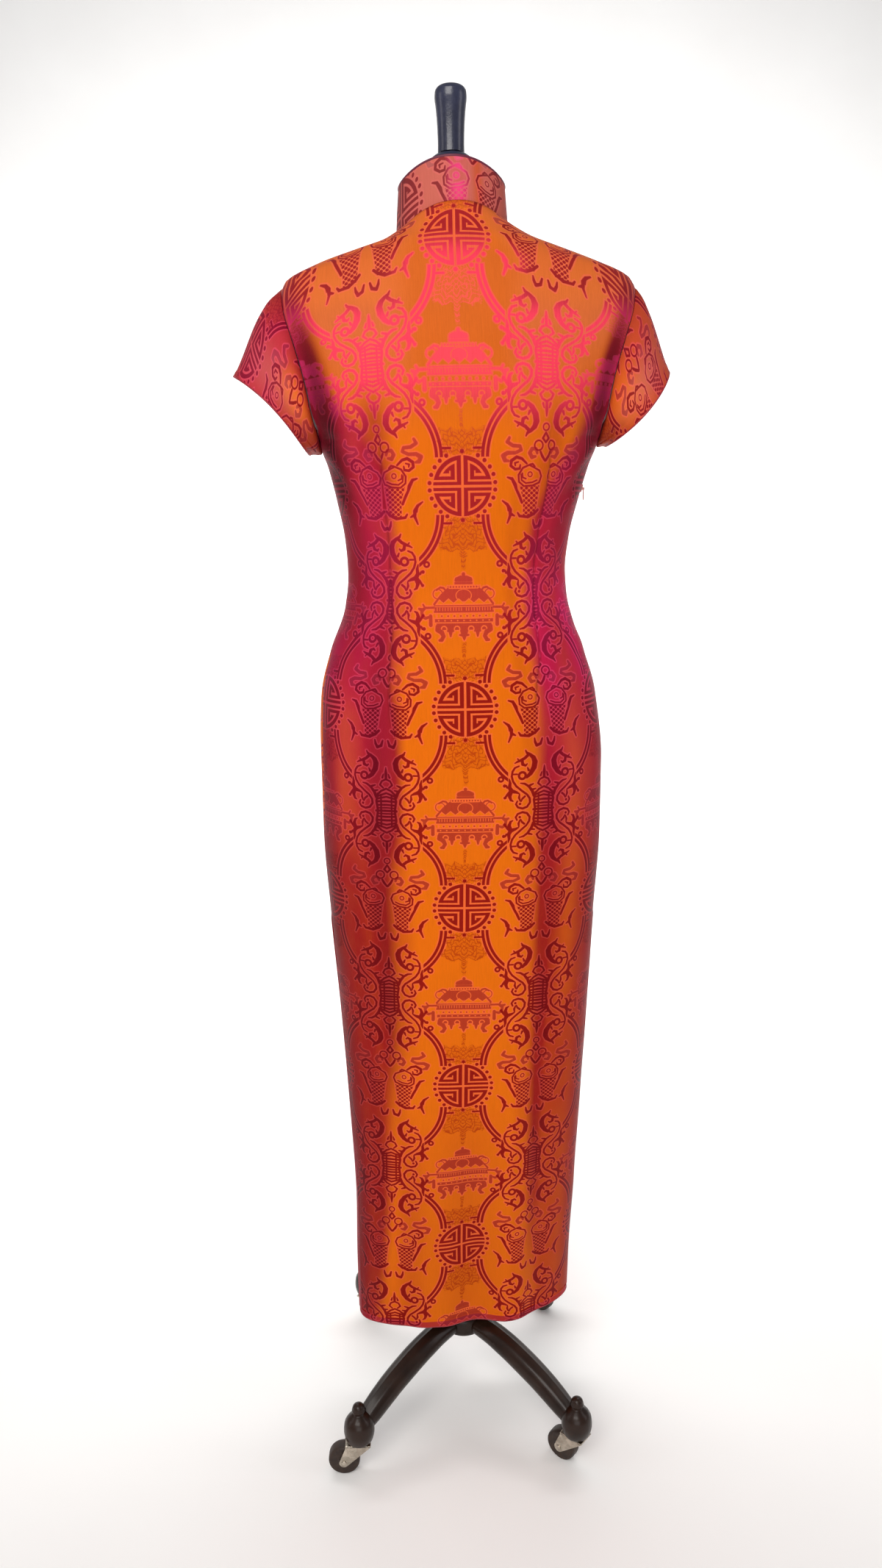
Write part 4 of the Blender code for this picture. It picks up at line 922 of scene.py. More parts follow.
# %% Lining and bias satin
def plain_cloth(name, code, dark_code, rough, rib=(30.0, 30.0)):
    """Satin or habotai: threads, soft clouds and a sheen. rib: threads per centimetre, across and up."""
    made, tree, shader = new_material(name)
    spot = place(*cut_coordinates(tree))
    thread = noise(tree, spot, 1.0, 3.0, 0.6, (rib[0], rib[1], rib[0]))
    cloud = noise(tree, spot, 0.35, 2.0)
    shade = (thread * 0.6 + cloud * 0.5 - 0.05).clamped()
    tree.links.new(mixed(tree, shade, colour(dark_code), colour(code)).socket, shader.inputs["Base Color"])
    tree.links.new((thread * 0.2 + (rough - 0.1)).socket, shader.inputs["Roughness"])
    bumped(tree, thread, shader, 0.35, 0.0003)
    shader.inputs["Sheen Weight"].default_value = 0.25
    shader.inputs["Sheen Tint"].default_value = (1.0, 0.3, 0.4, 1.0)
    return made


lining = plain_cloth("silk_lining", "#8E1C22", "#5E1018", 0.5)
bias = plain_cloth("bias_satin", "#B4222C", "#6E0F1E", 0.36, rib=(18.0, 60.0))
print("cloths:", lining.name, bias.name)

# %% [markdown]
# ## The back: one piece, shaped by two long darts
#
# The back has no centre seam. Two long darts, from under the shoulder blades to the hips, take
# the fullness out at the waist. On a real dress each dart folds a lens of cloth away inside, so
# the seam sits in a small groove and the pattern doesn't match across it at the waist. The
# net's columns follow both dart lines, crowd together beside them, and the flat cut has a jump
# of up to 2 cm there.

# %% Dart lines and how the net's columns follow them
DART_LEFT = (
    (14.0, 62), (94.9, 63.7), (104.6, 61.2), (111.4, 55.9), (120.9, 55.9), (128.4, 60.4), (140, 64),
    (151, 66),
)
DART_RIGHT = (
    (14.0, 118), (94.7, 118.4), (99.7, 120.8), (104.2, 126.9), (116.6, 131.4), (123.3, 130.2),
    (127.3, 124.5), (140, 118), (151, 115),
)
DART_TOP, DART_WAIST, DART_FOOT = 130.0 * CM, 112.0 * CM, 95.0 * CM
DART_INTAKE, DART_GROOVE = 1.8 * CM, 1.3 * MM
ROWS_UP = 280


def dart_angle(rows, v):
    heights, degrees = zip(*rows)
    return np.radians(smooth(np.array(heights) * CM, degrees, body("z_side", v)))


def dart_take(z):
    """How much cloth a dart folds away at a height, 0 beyond its ends."""
    return ramp(z, DART_FOOT, DART_WAIST) * (1 - ramp(z, DART_WAIST, DART_TOP))


def row_places(low=0.0, extra=()):
    """Places up the body for the net's rows: even, and closer at the hem and the armpit."""
    hem = np.array([0, 0.5, 1, 2.5, 4, 6, 8, 9, 9.6, 10.2, 10.8, 11.6, 13]) * MM
    arm = ARMPIT_V + np.array([0, 0.4, 0.9, 1.6, 2.6, 4.0, 6.0, 8.5, 11.5]) * MM
    places = np.concatenate([hem, np.linspace(18 * MM, NECK_V, ROWS_UP), arm, extra])
    places = np.unique(np.round(places[places >= low - 1e-9], 6))
    keep = np.concatenate([[True], np.diff(places) > 0.3 * MM])
    keep[-1] = True
    return places[keep]


v_rows = row_places()
print(f"{len(v_rows)} rows of cloth, {np.diff(v_rows).mean() / MM:.1f} mm apart on average")

# %% [markdown]
# Three more things happen to the cloth as it is placed. Where the body curves in at the waist
# the silk drags into faint slanting wrinkles. Above the hem, a 1 cm turning makes the cloth
# double and a line of stitches pulls it in. And at the slits the edge is turned the same way.

# %% Wrinkles, hem turning and grain
WRINKLES = (  # angle, z, across, up, tilt of the crest, depth in mm
    (40, 112, 7, 2.2, 0.35, 1.0), (142, 111, 7, 2.0, -0.4, 1.0), (44, 107, 7, 1.8, 0.2, 0.8),
    (138, 106, 7, 1.8, -0.2, 0.8), (30, 124, 5, 2.6, -0.7, 1.1), (150, 124, 5, 2.6, 0.7, 1.1),
    (88, 113, 6, 2.4, 0.1, 0.5), (50, 130, 3, 5, 1.4, 0.9), (129, 131, 3, 5, -1.4, 0.9),
    (96, 137, 9, 1.6, 0.0, 0.4), (75, 60, 3, 12, 3.0, 0.9), (112, 45, 3, 14, -3.0, 0.9),
    (35, 84, 2.5, 10, 2.0, 0.8), (150, 80, 2.5, 10, -2.0, 0.8), (225, 112, 8, 2.2, 0.3, 0.9),
    (315, 112, 8, 2.2, -0.3, 0.9), (270, 70, 3, 12, 2.0, 0.8), (240, 126, 5, 2.2, 0.6, 0.9),
    (300, 126, 5, 2.2, -0.6, 0.9),
)


def wrinkle_depth(u, points):
    """Small outward moves of the cloth, in metres."""
    z = points[..., 2] / CM
    out = np.zeros(z.shape)
    for angle, height, across, up, tilt, depth in WRINKLES:
        side = (u - math.radians(angle)) * 14
        rise = z - height - tilt * side
        near = np.exp(-((side / across) ** 2) - ((rise / (up * 2.2)) ** 2))
        out += depth * MM * near * np.cos(rise / up * math.pi)
    return out * (1 - ramp(points[..., 2], 1.40, 1.44))


def hem_depth(v, edge):
    """The turning of the hem and slits: double cloth up to 10 mm in, then a stitched line."""
    in_from = np.minimum(v, edge) / MM
    turning = 0.45 * (1 - ramp(in_from, 9.2, 10.6))
    return MM * (turning + 0.30 * bump(in_from, 9.2, 1.1) - 0.35 * bump(in_from, 10.6, 1.0))


def lengths_along(points):
    """Running length along each row."""
    steps = np.linalg.norm(np.diff(points, axis=1), axis=-1)
    return np.concatenate([np.zeros((len(points), 1)), np.cumsum(steps, axis=1)], axis=1)


# Metres up the cloth where each round sign lies, and how far its line leans aside there, in cm.
SIGN_ROWS = ((0.1272, 0), (0.3657, 1), (0.6075, 2), (0.8448, 3), (1.0886, 4), (1.3424, 5))
SIGN_ASIDE = (
    (0.1272, -0.23), (0.3657, 0.16), (0.6075, 0.48), (0.8448, 0.77), (1.0886, 0.69), (1.3424, 0.10),
)


def flat_cut(points, normals, middle_line, forward):
    """Across and up the flat cut, in metres, walking out from the middle line along each row.

    The grain runs straight up the body and, over the shoulders, forward across them.
    """
    lean = ramp(points[..., 2], 1.30, 1.43)[..., None]
    grain = np.array([0, 0, 1.0]) * (1 - 0.45 * lean) + np.array([0, forward, 0]) * lean
    grain = unit(grain - (grain * normals).sum(-1, keepdims=True) * normals)
    weft = np.cross(normals, grain) * -1
    step = np.diff(points, axis=1)
    mean_grain, mean_weft = (unit(f[:, 1:] + f[:, :-1]) for f in (grain, weft))
    start = np.zeros((len(points), 1))
    run_x = np.concatenate([start, np.cumsum((step * mean_weft).sum(-1), axis=1)], axis=1)
    run_y = np.concatenate([start, np.cumsum((step * mean_grain).sum(-1), axis=1)], axis=1)
    rows = np.arange(len(points))
    return run_x - run_x[rows, middle_line][:, None], run_y - run_y[rows, middle_line][:, None]


def up_the_cut(points):
    """Length up a line of points, read as rows of the woven pattern."""
    length = np.concatenate([[0], np.cumsum(np.linalg.norm(np.diff(points, axis=0), axis=-1))])
    knots, rows = (np.array(column, float) for column in zip(*SIGN_ROWS))
    spacing = REPEAT_UP * CM
    inner = smooth(knots, rows, length) * spacing
    return inner + np.minimum(length - knots[0], 0) + np.maximum(length - knots[-1], 0), length


print("wrinkles:", len(WRINKLES))


# %% A panel of cloth between lines up the body
EDGE_CROWD, DART_CROWD = (0, 0.8, 2.0, 4.8, 8.2, 9.2, 10.0, 10.8, 12.0, 14.0), (0, 0.7, 1.5, 2.8, 4.6)


def shared(count, start, end, width):
    """Shares from 0 to 1 for columns, crowded at the start and the end as the two lists (in mm) say."""
    start, end = (np.array(c) * MM / width for c in (start, end))
    return np.concatenate([start[:-1], np.linspace(start[-1], 1 - end[-1], count), 1 - end[:-1][::-1]])


def cut_size(across, up, shift, lens=0.0):
    """Width, length and area of the flat cut."""
    left, right = across[:, :-1] + shift, across[:, 1:] + shift
    a = np.stack([left[:-1], right[:-1], right[1:], left[1:]])
    b = np.stack([up[:-1, :-1], up[:-1, 1:], up[1:, 1:], up[1:, :-1]])
    faces = 0.5 * np.abs(sum(a[k] * b[(k + 1) % 4] - a[(k + 1) % 4] * b[k] for k in range(4)))
    width, length = float(right.max() - left.min()), float(up.max() - up.min())
    return (width, length), min(float(faces.sum()) + lens, width * length)


def cloth_panel(name, v, lines, shares, middle, forward, takes=None, tint=None):
    """A panel between lines of angles up the body. takes says which way the darts move each part."""
    between = enumerate(zip(lines, lines[1:], shares))
    parts = [a[:, None] + (b - a)[:, None] * s[k > 0:] for k, (a, b, s) in between]
    u = np.concatenate(parts, axis=1)
    rings = np.broadcast_to(v[:, None], u.shape)
    base, normals = surface(u, rings), surface_normal(u, rings)
    run, z = lengths_along(base), base[..., 2]
    from_edge = np.minimum(run, run[:, -1:] - run)
    in_slit = np.where(z < SLIT_TOP, from_edge, 1.0)
    out = wrinkle_depth(u, base) * ramp(rings, 0.012, 0.05) + hem_depth(rings, in_slit)
    out -= 0.5 * MM * (1 - ramp(from_edge, 0, 2.2 * MM)) * (z > SLIT_TOP)
    joints = np.cumsum([part.shape[1] for part in parts])[:-1] - 1
    shift = np.zeros((len(v), u.shape[1] - 1))
    if takes:
        strength = ramp(z, DART_FOOT, 1.00) * (1 - ramp(z, 1.22, DART_TOP))
        for column in joints:
            away = np.abs(run - run[:, column:column + 1])
            out -= DART_GROOVE * strength * (1 - ramp(away, 0, 3.2 * MM))
        for side, first, last in zip(takes, [0, *joints], [*joints, u.shape[1] - 1]):
            shift[:, first:last] = side * DART_INTAKE * dart_take(z[:, u.shape[1] // 2])[:, None]
    points = base + out[..., None] * normals
    centre = int(np.argmin(np.abs(u[len(v) // 2] - middle)))
    across, rise = flat_cut(base, normals, centre, forward)
    up, length = up_the_cut(base[:, centre])
    knots, aside = zip(*SIGN_ASIDE)
    line_x = -smooth(knots, aside, length) * CM * (forward < 0)
    order = -1 if forward < 0 else 1
    rows = zip(line_x, base[:, ::order, 0], across[:, ::order])
    across -= np.array([np.interp(x, row_x, row_across) for x, row_x, row_across in rows])[:, None]
    up = up[:, None] + rise
    share = (base[..., 0] + body("aside", rings)) / body("half", rings)
    tone = tones(share, z)
    if tint is not None:
        tone = tint(tone, run, z)
    # The last centimetre of the hem and the slits is painted redder and a little pinker.
    turned_in = 1 - ramp(np.minimum(rings, in_slit), 8.6 * MM, 10 * MM)
    tone[0] = np.maximum(tone[0], 0.80 * turned_in)
    tone[1] += 0.22 * turned_in
    # Each dart seam is painted a little darker, towards wine.
    if takes:
        for column in joints:
            seam_line = strength * (1 - ramp(np.abs(run - run[:, column:column + 1]), 0.7 * MM, 2.0 * MM))
            tone[2] = tone[2] + 0.34 * seam_line * (1 - tone[2])
    bm = net(points, across, up, np.moveaxis(tone, 0, -1), shift)
    made = give_wall(put_in_scene(name, mesh_of(name, bm), silk, lining))
    lens = 2 * float((dart_take(z[:, centre])[:-1] * np.diff(v)).sum()) * DART_INTAKE if takes else 0.0
    flat, area = cut_size(across, up, shift, lens)
    print(f"{name}: cut {flat[0]:.3f} x {flat[1]:.3f} m, {area:.3f} m2, {points.shape[:2]} threads")
    return made, points, normals, flat, area


edges = panel_edges(v_rows)
dart_lines = dart_angle(DART_LEFT, v_rows), dart_angle(DART_RIGHT, v_rows)
back, back_points, back_normals, *back_cut = cloth_panel(
    "silk_back", v_rows, (edges[0], *dart_lines, edges[1]),
    (shared(24, EDGE_CROWD, DART_CROWD, 0.14), shared(40, DART_CROWD, DART_CROWD, 0.13),
     shared(24, DART_CROWD, EDGE_CROWD, 0.14)),
    math.pi / 2, -1, takes=(-1, 0, 1))

# %% [markdown]
# ## The front, and the small shoulder piece under its wrap
#
# A cheongsam's front wraps over from the wearer's left and closes along a curve from the
# collar to the right armpit. Its left edge shows from behind over the hip, where the seam lies
# behind the widest line: there the light catches it, so it is painted a lit orange without painted shade.

# %% Front panels
def peeking(tone, run, z):
    """Paints the strip that shows past the hip a lit orange, clear of painted shade and flash, where the
    light catches it.
    """
    near = 1 - ramp(run[:, -1:] - run, 0.016, 0.034)
    strip = near * ramp(z, 0.80, 0.86) * (1 - ramp(z, 1.02, 1.06))
    tone[0] = tone[0] * (1 - strip) + 0.22 * strip
    tone[1] *= 1 - strip
    tone[2] *= 1 - strip
    return tone


split = nudged(placket_angle(v_rows), v_rows, SEAM_GAP)
start = np.where(v_rows > ARMPIT_V, split, edges[2])
front, front_points, front_normals, *front_cut = cloth_panel(
    "silk_front", v_rows, (start, edges[3]), (shared(66, EDGE_CROWD, EDGE_CROWD, 0.36),), 1.5 * math.pi, 1,
    tint=peeking)
upper = row_places(SHOULDER_FOOT_V, extra=(SHOULDER_FOOT_V,))
shoulder, _, _, *shoulder_cut = cloth_panel(
    "silk_shoulder", upper, (panel_edges(upper)[2], nudged(placket_angle(upper), upper, -SEAM_GAP)),
    (np.linspace(0, 1, 34),), 1.5 * math.pi, 1)

# %% [markdown]
# ## Rolled edges
#
# The slit edges, hem, wrap, sleeves and collar are finished with a bias strip that is rolled
# over the raw edge and sewn down by hand. A rolled edge is a tube that holds the cloth's edge,
# about 2 mm thick. Its net is wound round a path and closed by merging its two long edges, and
# each end is drawn to a point, as the strip is tucked under.

# %% A tube along a path
def path_run(path):
    return np.concatenate([[0], np.cumsum(np.linalg.norm(np.diff(path, axis=0), axis=-1))])


def swept(name, path, normals, radius, closed=False, sides=10, finish=None):
    """A round cord or rolled strip along a path."""
    if closed:
        path, normals = np.concatenate([path, path[:1]]), np.concatenate([normals, normals[:1]])
    ahead = np.roll(path, -1, axis=0) - np.roll(path, 1, axis=0)
    ahead[0], ahead[-1] = (path[1] - path[-2],) * 2 if closed else (path[1] - path[0], path[-1] - path[-2])
    ahead = unit(ahead)
    side = unit(np.cross(ahead, normals))
    rise = np.cross(side, ahead)
    size = np.full(len(path), radius)
    if not closed:
        ends = [0, *range(len(path)), -1]
        path, side, rise, ahead = (a[ends] for a in (path, side, rise, ahead))
        path[0] -= ahead[0] * radius * 0.6
        path[-1] += ahead[-1] * radius * 0.6
        size = np.concatenate([[0], size * np.where(np.arange(len(size)) % (len(size) - 1), 1, 0.8), [0]])
    turn = np.linspace(0, 2 * math.pi, sides + 1)
    ring = np.cos(turn)[None, :, None] * rise[:, None] + np.sin(turn)[None, :, None] * side[:, None]
    points = path[:, None] + ring * size[:, None, None]
    along = np.broadcast_to(path_run(path)[:, None], points.shape[:2])
    round_it = np.broadcast_to(turn * float(np.max(size)), points.shape[:2])
    bm = net(points, round_it, along, weld=True)
    bmesh.ops.recalc_face_normals(bm, faces=bm.faces)
    return put_in_scene(name, mesh_of(name, bm), finish or bias, sharp=70)


ROLL = 1.05 * MM


def hem_path(points, normals, low_rows):
    """From the top of one slit down, along the hem and up to the top of the other, just inside the edge."""
    def inside(edge, inner, out):
        return edge + unit(inner - edge) * ROLL * 0.9 - out * WALL / 2

    left = inside(points[low_rows, 0], points[low_rows, 3], normals[low_rows, 0])[::-1]
    right = inside(points[low_rows, -1], points[low_rows, -4], normals[low_rows, -1])
    hem = inside(points[0, 3:-3], points[4, 3:-3], normals[0, 3:-3])
    above_hem = unit(points[3, 2] - points[0, 2]) * ROLL * 0.8
    left[-1], right[0] = left[-1] + above_hem, right[0] + above_hem
    return (np.concatenate([left, hem, right]),
            np.concatenate([normals[low_rows, 0][::-1], normals[0, 3:-3], normals[low_rows, -1]]))


low_rows = np.flatnonzero(v_rows <= v_at_height(SLIT_TOP))[::2]
back_roll = swept("roll_back", *hem_path(back_points, back_normals, low_rows), ROLL)
front_roll = swept("roll_front", *hem_path(front_points, front_normals, low_rows), ROLL)
wrap_rows = np.flatnonzero(v_rows >= BODY_V[PLACKET_START])
wrap_path = front_points[wrap_rows, 0] + unit(front_points[wrap_rows, 3] - front_points[wrap_rows, 0]) * ROLL
wrap_path[-1] += unit(wrap_path[-2] - wrap_path[-1]) * 2 * MM
placket_roll = swept("roll_placket", wrap_path + front_normals[wrap_rows, 0] * 0.3 * MM,
                     front_normals[wrap_rows, 0], 1.3 * MM)
for made, node in ((back_roll, "back_binding"), (front_roll, "front_binding"),
                   (placket_roll, "placket_binding")):
    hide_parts(node)
print("rolled edges:", back_roll.name, front_roll.name, placket_roll.name)

# %% [markdown]
# ## Cap sleeves
#
# Each sleeve is one piece: its head is sewn into the armhole and its hem falls just past the
# shoulder. Cloth can't shrink, so the ease of the sleeve head stands up as a slight swell next
# to the seam, and lifting the arm side drags a crease or two towards the armpit.

# %% Sleeve nets
# The hem's top and bottom (x, z), its half depth, how far its middle lifts, and the head's swell, in cm.
SLEEVES = {"left": ((24.6, 134.2), (16.5, 125.7), 5.1, 0.90, 0.75),
           "right": ((-24.0, 134.1), (-17.3, 126.2), 5.1, -0.70, 0.45)}
SLEEVE_AROUND, SLEEVE_DOWN = 168, 40
SWELL_PEAK = 27 / 4  # s (1 - s)^2 has its peak, 4 / 27, at a third of the way down


def armhole(side):
    """The armhole from the shoulder tip down the back to the armpit and up the front, evenly spaced."""
    v = np.linspace(TIP_V, ARMPIT_V, 300)
    v = np.concatenate([v, v[-2:0:-1]])
    cut = body("cut", v) * np.where(np.arange(len(v)) < 300, 1, -1)
    u = cut if side == "left" else math.pi - cut
    points = surface(u, v)
    points = np.concatenate([points, points[:1]])
    run = path_run(points)
    at = np.linspace(0, run[-1], SLEEVE_AROUND + 1)
    return np.stack([np.interp(at, run, points[:, k]) for k in range(3)], -1), at


def sleeve(side):
    top, bottom, depth, lift, swell = SLEEVES[side]
    root, at = armhole(side)
    angle = 2 * math.pi * at / at[-1]
    top, bottom = (np.array([x, 0, z]) * CM for x, z in (top, bottom))
    slant = unit(top - bottom)
    inward_up = np.array([-slant[2], 0, slant[0]]) * math.copysign(1, slant[0])
    along, out = np.cos(angle)[:, None], np.sin(angle)[:, None]
    hem = ((top + bottom) / 2 + (top - bottom) / 2 * along + np.array([0, depth * CM, 0]) * out
           + inward_up * lift * CM * out ** 2)
    outward = unit(hem - hem[:-1].mean(axis=0))
    root = root + unit(hem - root) * 0.4 * MM
    down = np.linspace(0, 1, SLEEVE_DOWN + 1) ** 1.15
    s = down[:, None, None]
    rings = root + (hem - root) * s + outward * swell * CM * SWELL_PEAK * s * (1 - s) ** 2
    # ease next to the seam, a soft drag towards the armpit, and a turned hem
    ease = 0.55 * MM * np.sin(angle * 9)[None] * bump(down, 0.16, 0.16)[:, None]
    ease = ease * (np.cos(angle) > -0.2)[None]
    drag = 0.9 * MM * np.cos(8 * angle[None] + 5 * down[:, None])
    drag = drag * bump(down, 0.6, 0.45)[:, None] * ramp(-np.cos(angle), 0.1, 0.8)[None]
    length = np.linalg.norm(hem - root, axis=-1)
    from_hem = (1 - down)[:, None] * length / MM
    turned_up = 0.5 * MM * (1 - ramp(from_hem, 8, 9.5)) - 0.3 * MM * bump(from_hem, 9.6, 1.2)
    seat = -0.5 * MM * (1 - ramp(down, 0, 0.05))[:, None]
    rings = rings + outward * (ease + drag + turned_up + seat)[..., None]
    rings[:, -1] = rings[:, 0]
    around = np.broadcast_to((at - at[-1] / 4 + math.copysign(7.6 * CM, lift))[None], rings.shape[:2])
    steps = np.linalg.norm(np.diff(rings, axis=0), axis=-1)
    reach = np.concatenate([np.zeros((1, len(at))), np.cumsum(steps, axis=0)])
    return rings, around, 5.5 * CM - reach, down, angle, outward


def sleeve_tone(side, down, angle):
    """Painted light on a sleeve: crimson over the shoulder, a lit orange on the back of the arm, painted
    shade underneath and beside the seam, a pink painted flash and a pale painted haze.
    """
    left = side == "left"
    middle, half = (0.42, 0.45) if left else (0.5, 0.7)
    on_back = bump(angle, math.pi * 0.58, 0.75)[None] * bump(down, middle, half)[:, None]
    turn = (0.72 if left else 0.48) - (0.80 if left else 0.50) * on_back
    flash = (0.42 if left else 0.16) * (1 - on_back) * bump(angle, math.pi * 0.32, 1.5)[None] + 0.08
    under = ramp(-np.cos(angle), 0.35, 0.98)[None]
    shade = 0.34 * under + 0.22 * (1 - ramp(down, 0, 0.16))[:, None] + 0.05 * ramp(down, 0.8, 1)[:, None]
    glint = 0.05 * (1 - on_back)
    veil = (0.20 if left else 0.24) * bump(down, 0.62, 0.5)[:, None] * bump(angle, math.pi * 0.42, 1.3)[None]
    return np.clip(np.stack(np.broadcast_arrays(turn, flash, shade, glint, veil)), 0, 1)


sleeves, sleeve_rolls = [], []
for side in SLEEVES:
    rings, around, up, down, angle, outward = sleeve(side)
    tone = sleeve_tone(side, down, angle)
    bm = net(rings, around, up, np.moveaxis(tone, 0, -1), weld=True)
    bmesh.ops.recalc_face_normals(bm, faces=bm.faces)
    made = give_wall(put_in_scene(f"silk_sleeve_{side}", mesh_of("sleeve", bm), silk, lining))
    flat, area = cut_size(around, up, 0)
    sleeves.append((made, flat, area))
    hem = rings[-1, :-1] + unit(rings[-3, :-1] - rings[-1, :-1]) * ROLL * 0.9 - outward[:-1] * WALL / 2
    sleeve_rolls.append(swept(f"roll_sleeve_{side}", hem, outward[:-1], ROLL, closed=True))
    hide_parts(f"sleeve_{side}")
    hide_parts(f"sleeve_binding_{side}")
    print(f"sleeve {side}: cut {flat[0]:.3f} x {flat[1]:.3f} m")

# %% [markdown]
# ## The stand collar
#
# A stiffened band stands up from the neck seam and leans in a little. Its top is piped with the
# same bias satin and its two ends are rounded where they meet at the front. On its back a
# painted pink highlight stands beside a patch painted plain orange, its sides carry painted
# shade, and a pale painted haze of light lies over it.

# %% Collar net
COLLAR_SIDE, COLLAR_BACK, COLLAR_FRONT, COLLAR_HALF, COLLAR_DEPTHS = 153.2, 155.0, 151.0, 5.75, (5.7, 5.4)
COLLAR_OPENING, COLLAR_CORNER = math.radians(1.6), 1.6


def collar_points(u, share):
    """The collar's outer face from its seam (0) to its top edge (1)."""
    base = surface(u, np.full_like(u, NECK_V))
    sin_u, cos_u = np.sin(u), np.cos(u)
    depth = np.where(sin_u >= 0, *COLLAR_DEPTHS) * CM
    middle = np.where(sin_u >= 0, COLLAR_BACK, COLLAR_FRONT) * CM
    top = COLLAR_SIDE * CM + (middle - COLLAR_SIDE * CM) * sin_u**2
    off = np.abs((u - 1.5 * math.pi + math.pi) % (2 * math.pi) - math.pi) * depth
    short = np.clip(COLLAR_CORNER * CM - off, 0, COLLAR_CORNER * CM)
    top = top - (COLLAR_CORNER * CM - np.sqrt((COLLAR_CORNER * CM) ** 2 - short**2))
    foot = base + np.array([0, 0, SEAM_GAP])
    rim = np.stack([COLLAR_HALF * CM * cos_u, depth * sin_u, top], -1)
    return foot[None] + (rim - foot)[None] * share[:, None, None]


start, end, corner = 1.5 * math.pi + COLLAR_OPENING, 3.5 * math.pi - COLLAR_OPENING, math.radians(16)
u = np.concatenate([np.linspace(start, start + corner, 13)[:-1],
                    np.linspace(start + corner, end - corner, 150),
                    np.linspace(end - corner, end, 13)[1:]])
share = np.concatenate([[0, 0.015, 0.04, 0.08], np.linspace(0.13, 1, 16)])
outer = collar_points(u, share)
level_out = unit(np.stack([np.cos(u), np.sin(u), 0 * u], -1))
outer -= level_out * (0.7 * MM * (1 - ramp(share, 0, 0.09)))[:, None, None]
give = 0.3 * MM * np.sin(u * 5 + 1) * np.sin(u * 2.3)
outer += level_out * give[None, :, None] * bump(share, 0.5, 0.5)[:, None, None]
tone = np.zeros((5, *outer.shape[:2]))
back_u = np.degrees(u) - 360  # the middle of the back is at 90
# Painted light on the collar: a pink painted highlight, a patch left plain orange, painted shade towards its
# sides (most on the wearer's left) and a pale painted haze.
pink_glare, patch = bump(back_u, 96, 14), bump(back_u, 116, 10)
tone[0] = 0.50 - 0.25 * patch
tone[1] = 0.20 + 0.42 * pink_glare**0.6
tone[2] = 0.12 + np.where(back_u > 90, 0.05, 0.38) * ramp(np.abs(back_u - 90), 42, 85)
tone[3] = pink_glare**0.7
tone[4] = 0.36 * (1 - 0.25 * pink_glare) * (1 - 0.75 * patch) * (1 - 0.5 * ramp(np.abs(back_u - 90), 45, 85))
fold = lengths_along(outer)
up = np.broadcast_to((path_run(outer[:, len(u) // 2]) - 1.2 * CM)[:, None], outer.shape[:2])
across = fold - fold[:, len(u) // 2:len(u) // 2 + 1] - 11.2 * CM
bm = net(outer, across, up, np.moveaxis(np.clip(tone, 0, 1), 0, -1))
collar = give_wall(put_in_scene("silk_collar", mesh_of("silk_collar", bm), silk, lining), 1.6 * MM)
collar_cut = cut_size(across, up, 0)
rim = outer[-1] - unit(outer[-1] - outer[-2]) * 0.9 * MM - level_out * 0.8 * MM
collar_roll = swept("roll_collar", rim, level_out, 1.45 * MM, sides=12,
                    finish=plain_cloth("piping_satin", "#7A1C3C", "#3E0E26", 0.4, rib=(18.0, 60.0)))
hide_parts("collar_binding")
print(f"collar: cut {collar_cut[0][0]:.3f} x {collar_cut[0][1]:.3f} m")

# %% [markdown]
# ## Frogs
#
# The wrap closes with three frogs. Each is a bias cord sewn into a hairpin on either side, and
# its middle is a ball that is knotted from the same cord and slips through a loop.

# %% Knotted cord fastenings
FROG_PLACES = (NECK_V - 0.9 * CM, BODY_V[20], BODY_V[17])
CORD = 0.95 * MM


def on_wrap(v, across, rise, lift):
    """Places beside the wrap's edge: across it and up, in metres, lifted off the cloth."""
    middle = nudged(placket_angle(np.array(v)), v, SEAM_GAP + 2.2 * MM)
    rows = np.clip(v + rise, 0, NECK_V - 1 * MM)
    u = nudged(np.full(len(across), middle), rows, across)
    normals = surface_normal(u, rows)
    return surface(u, rows) + lift * normals, normals


frogs = []
for number, v in enumerate(FROG_PLACES, start=1):
    cords = []
    for way in (-1, 1):
        turn = np.linspace(-math.pi / 2, math.pi / 2, 15)
        out = np.linspace(0.26, 1.72, 16) * CM
        bend = 1.72 * CM + np.cos(turn) * 2.3 * MM
        across = np.concatenate([out, bend[1:-1], out[::-1]]) * way
        rise = np.concatenate([np.full(16, -1.05 * MM), np.sin(turn[1:-1]) * 1.9 * MM,
                               np.full(16, 1.05 * MM)])
        path, normals = on_wrap(v, across, rise, 2.5 * MM + CORD)
        cords.append(swept("cord", path, normals, CORD, sides=9))
    middle, middle_normal = on_wrap(v, np.zeros(1), np.zeros(1), 2.6 * MM + 2.3 * MM)
    t = np.linspace(0, 2 * math.pi, 121)[:-1]
    x, y = np.sin(t) + 2 * np.sin(2 * t), np.cos(t) - 2 * np.cos(2 * t)
    knot = np.stack([x, y, -np.sin(3 * t)], -1) * [0.95, 0.95, 1.5] * MM
    n = Vector(middle_normal[0])
    tilt = np.array(n.to_track_quat("Z", "Y").to_matrix())
    path = knot @ tilt.T + middle[0]
    out = unit(knot * [1, 1, 0.6]) @ tilt.T
    cords.append(swept("knot", path, out, 1.25 * MM, closed=True, sides=9))
    bm = bmesh.new()
    for cord in cords:
        bm.from_mesh(cord.data)
        bpy.data.objects.remove(cord)
    frogs.append(put_in_scene(f"knot_frog_{number}", mesh_of("frog", bm), bias))
    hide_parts(f"frog_{number}")
print("frogs:", [f.name for f in frogs])

# %% [markdown]
# ## The dress form
#
# Under the silk is a padded body in black jersey that ends just below the hips. It follows the
# same rings as the dress, 3 mm inside it, and closer at the shoulders where the dress hangs on
# it. Its neck is closed by a turned cap with a painted wooden knob.

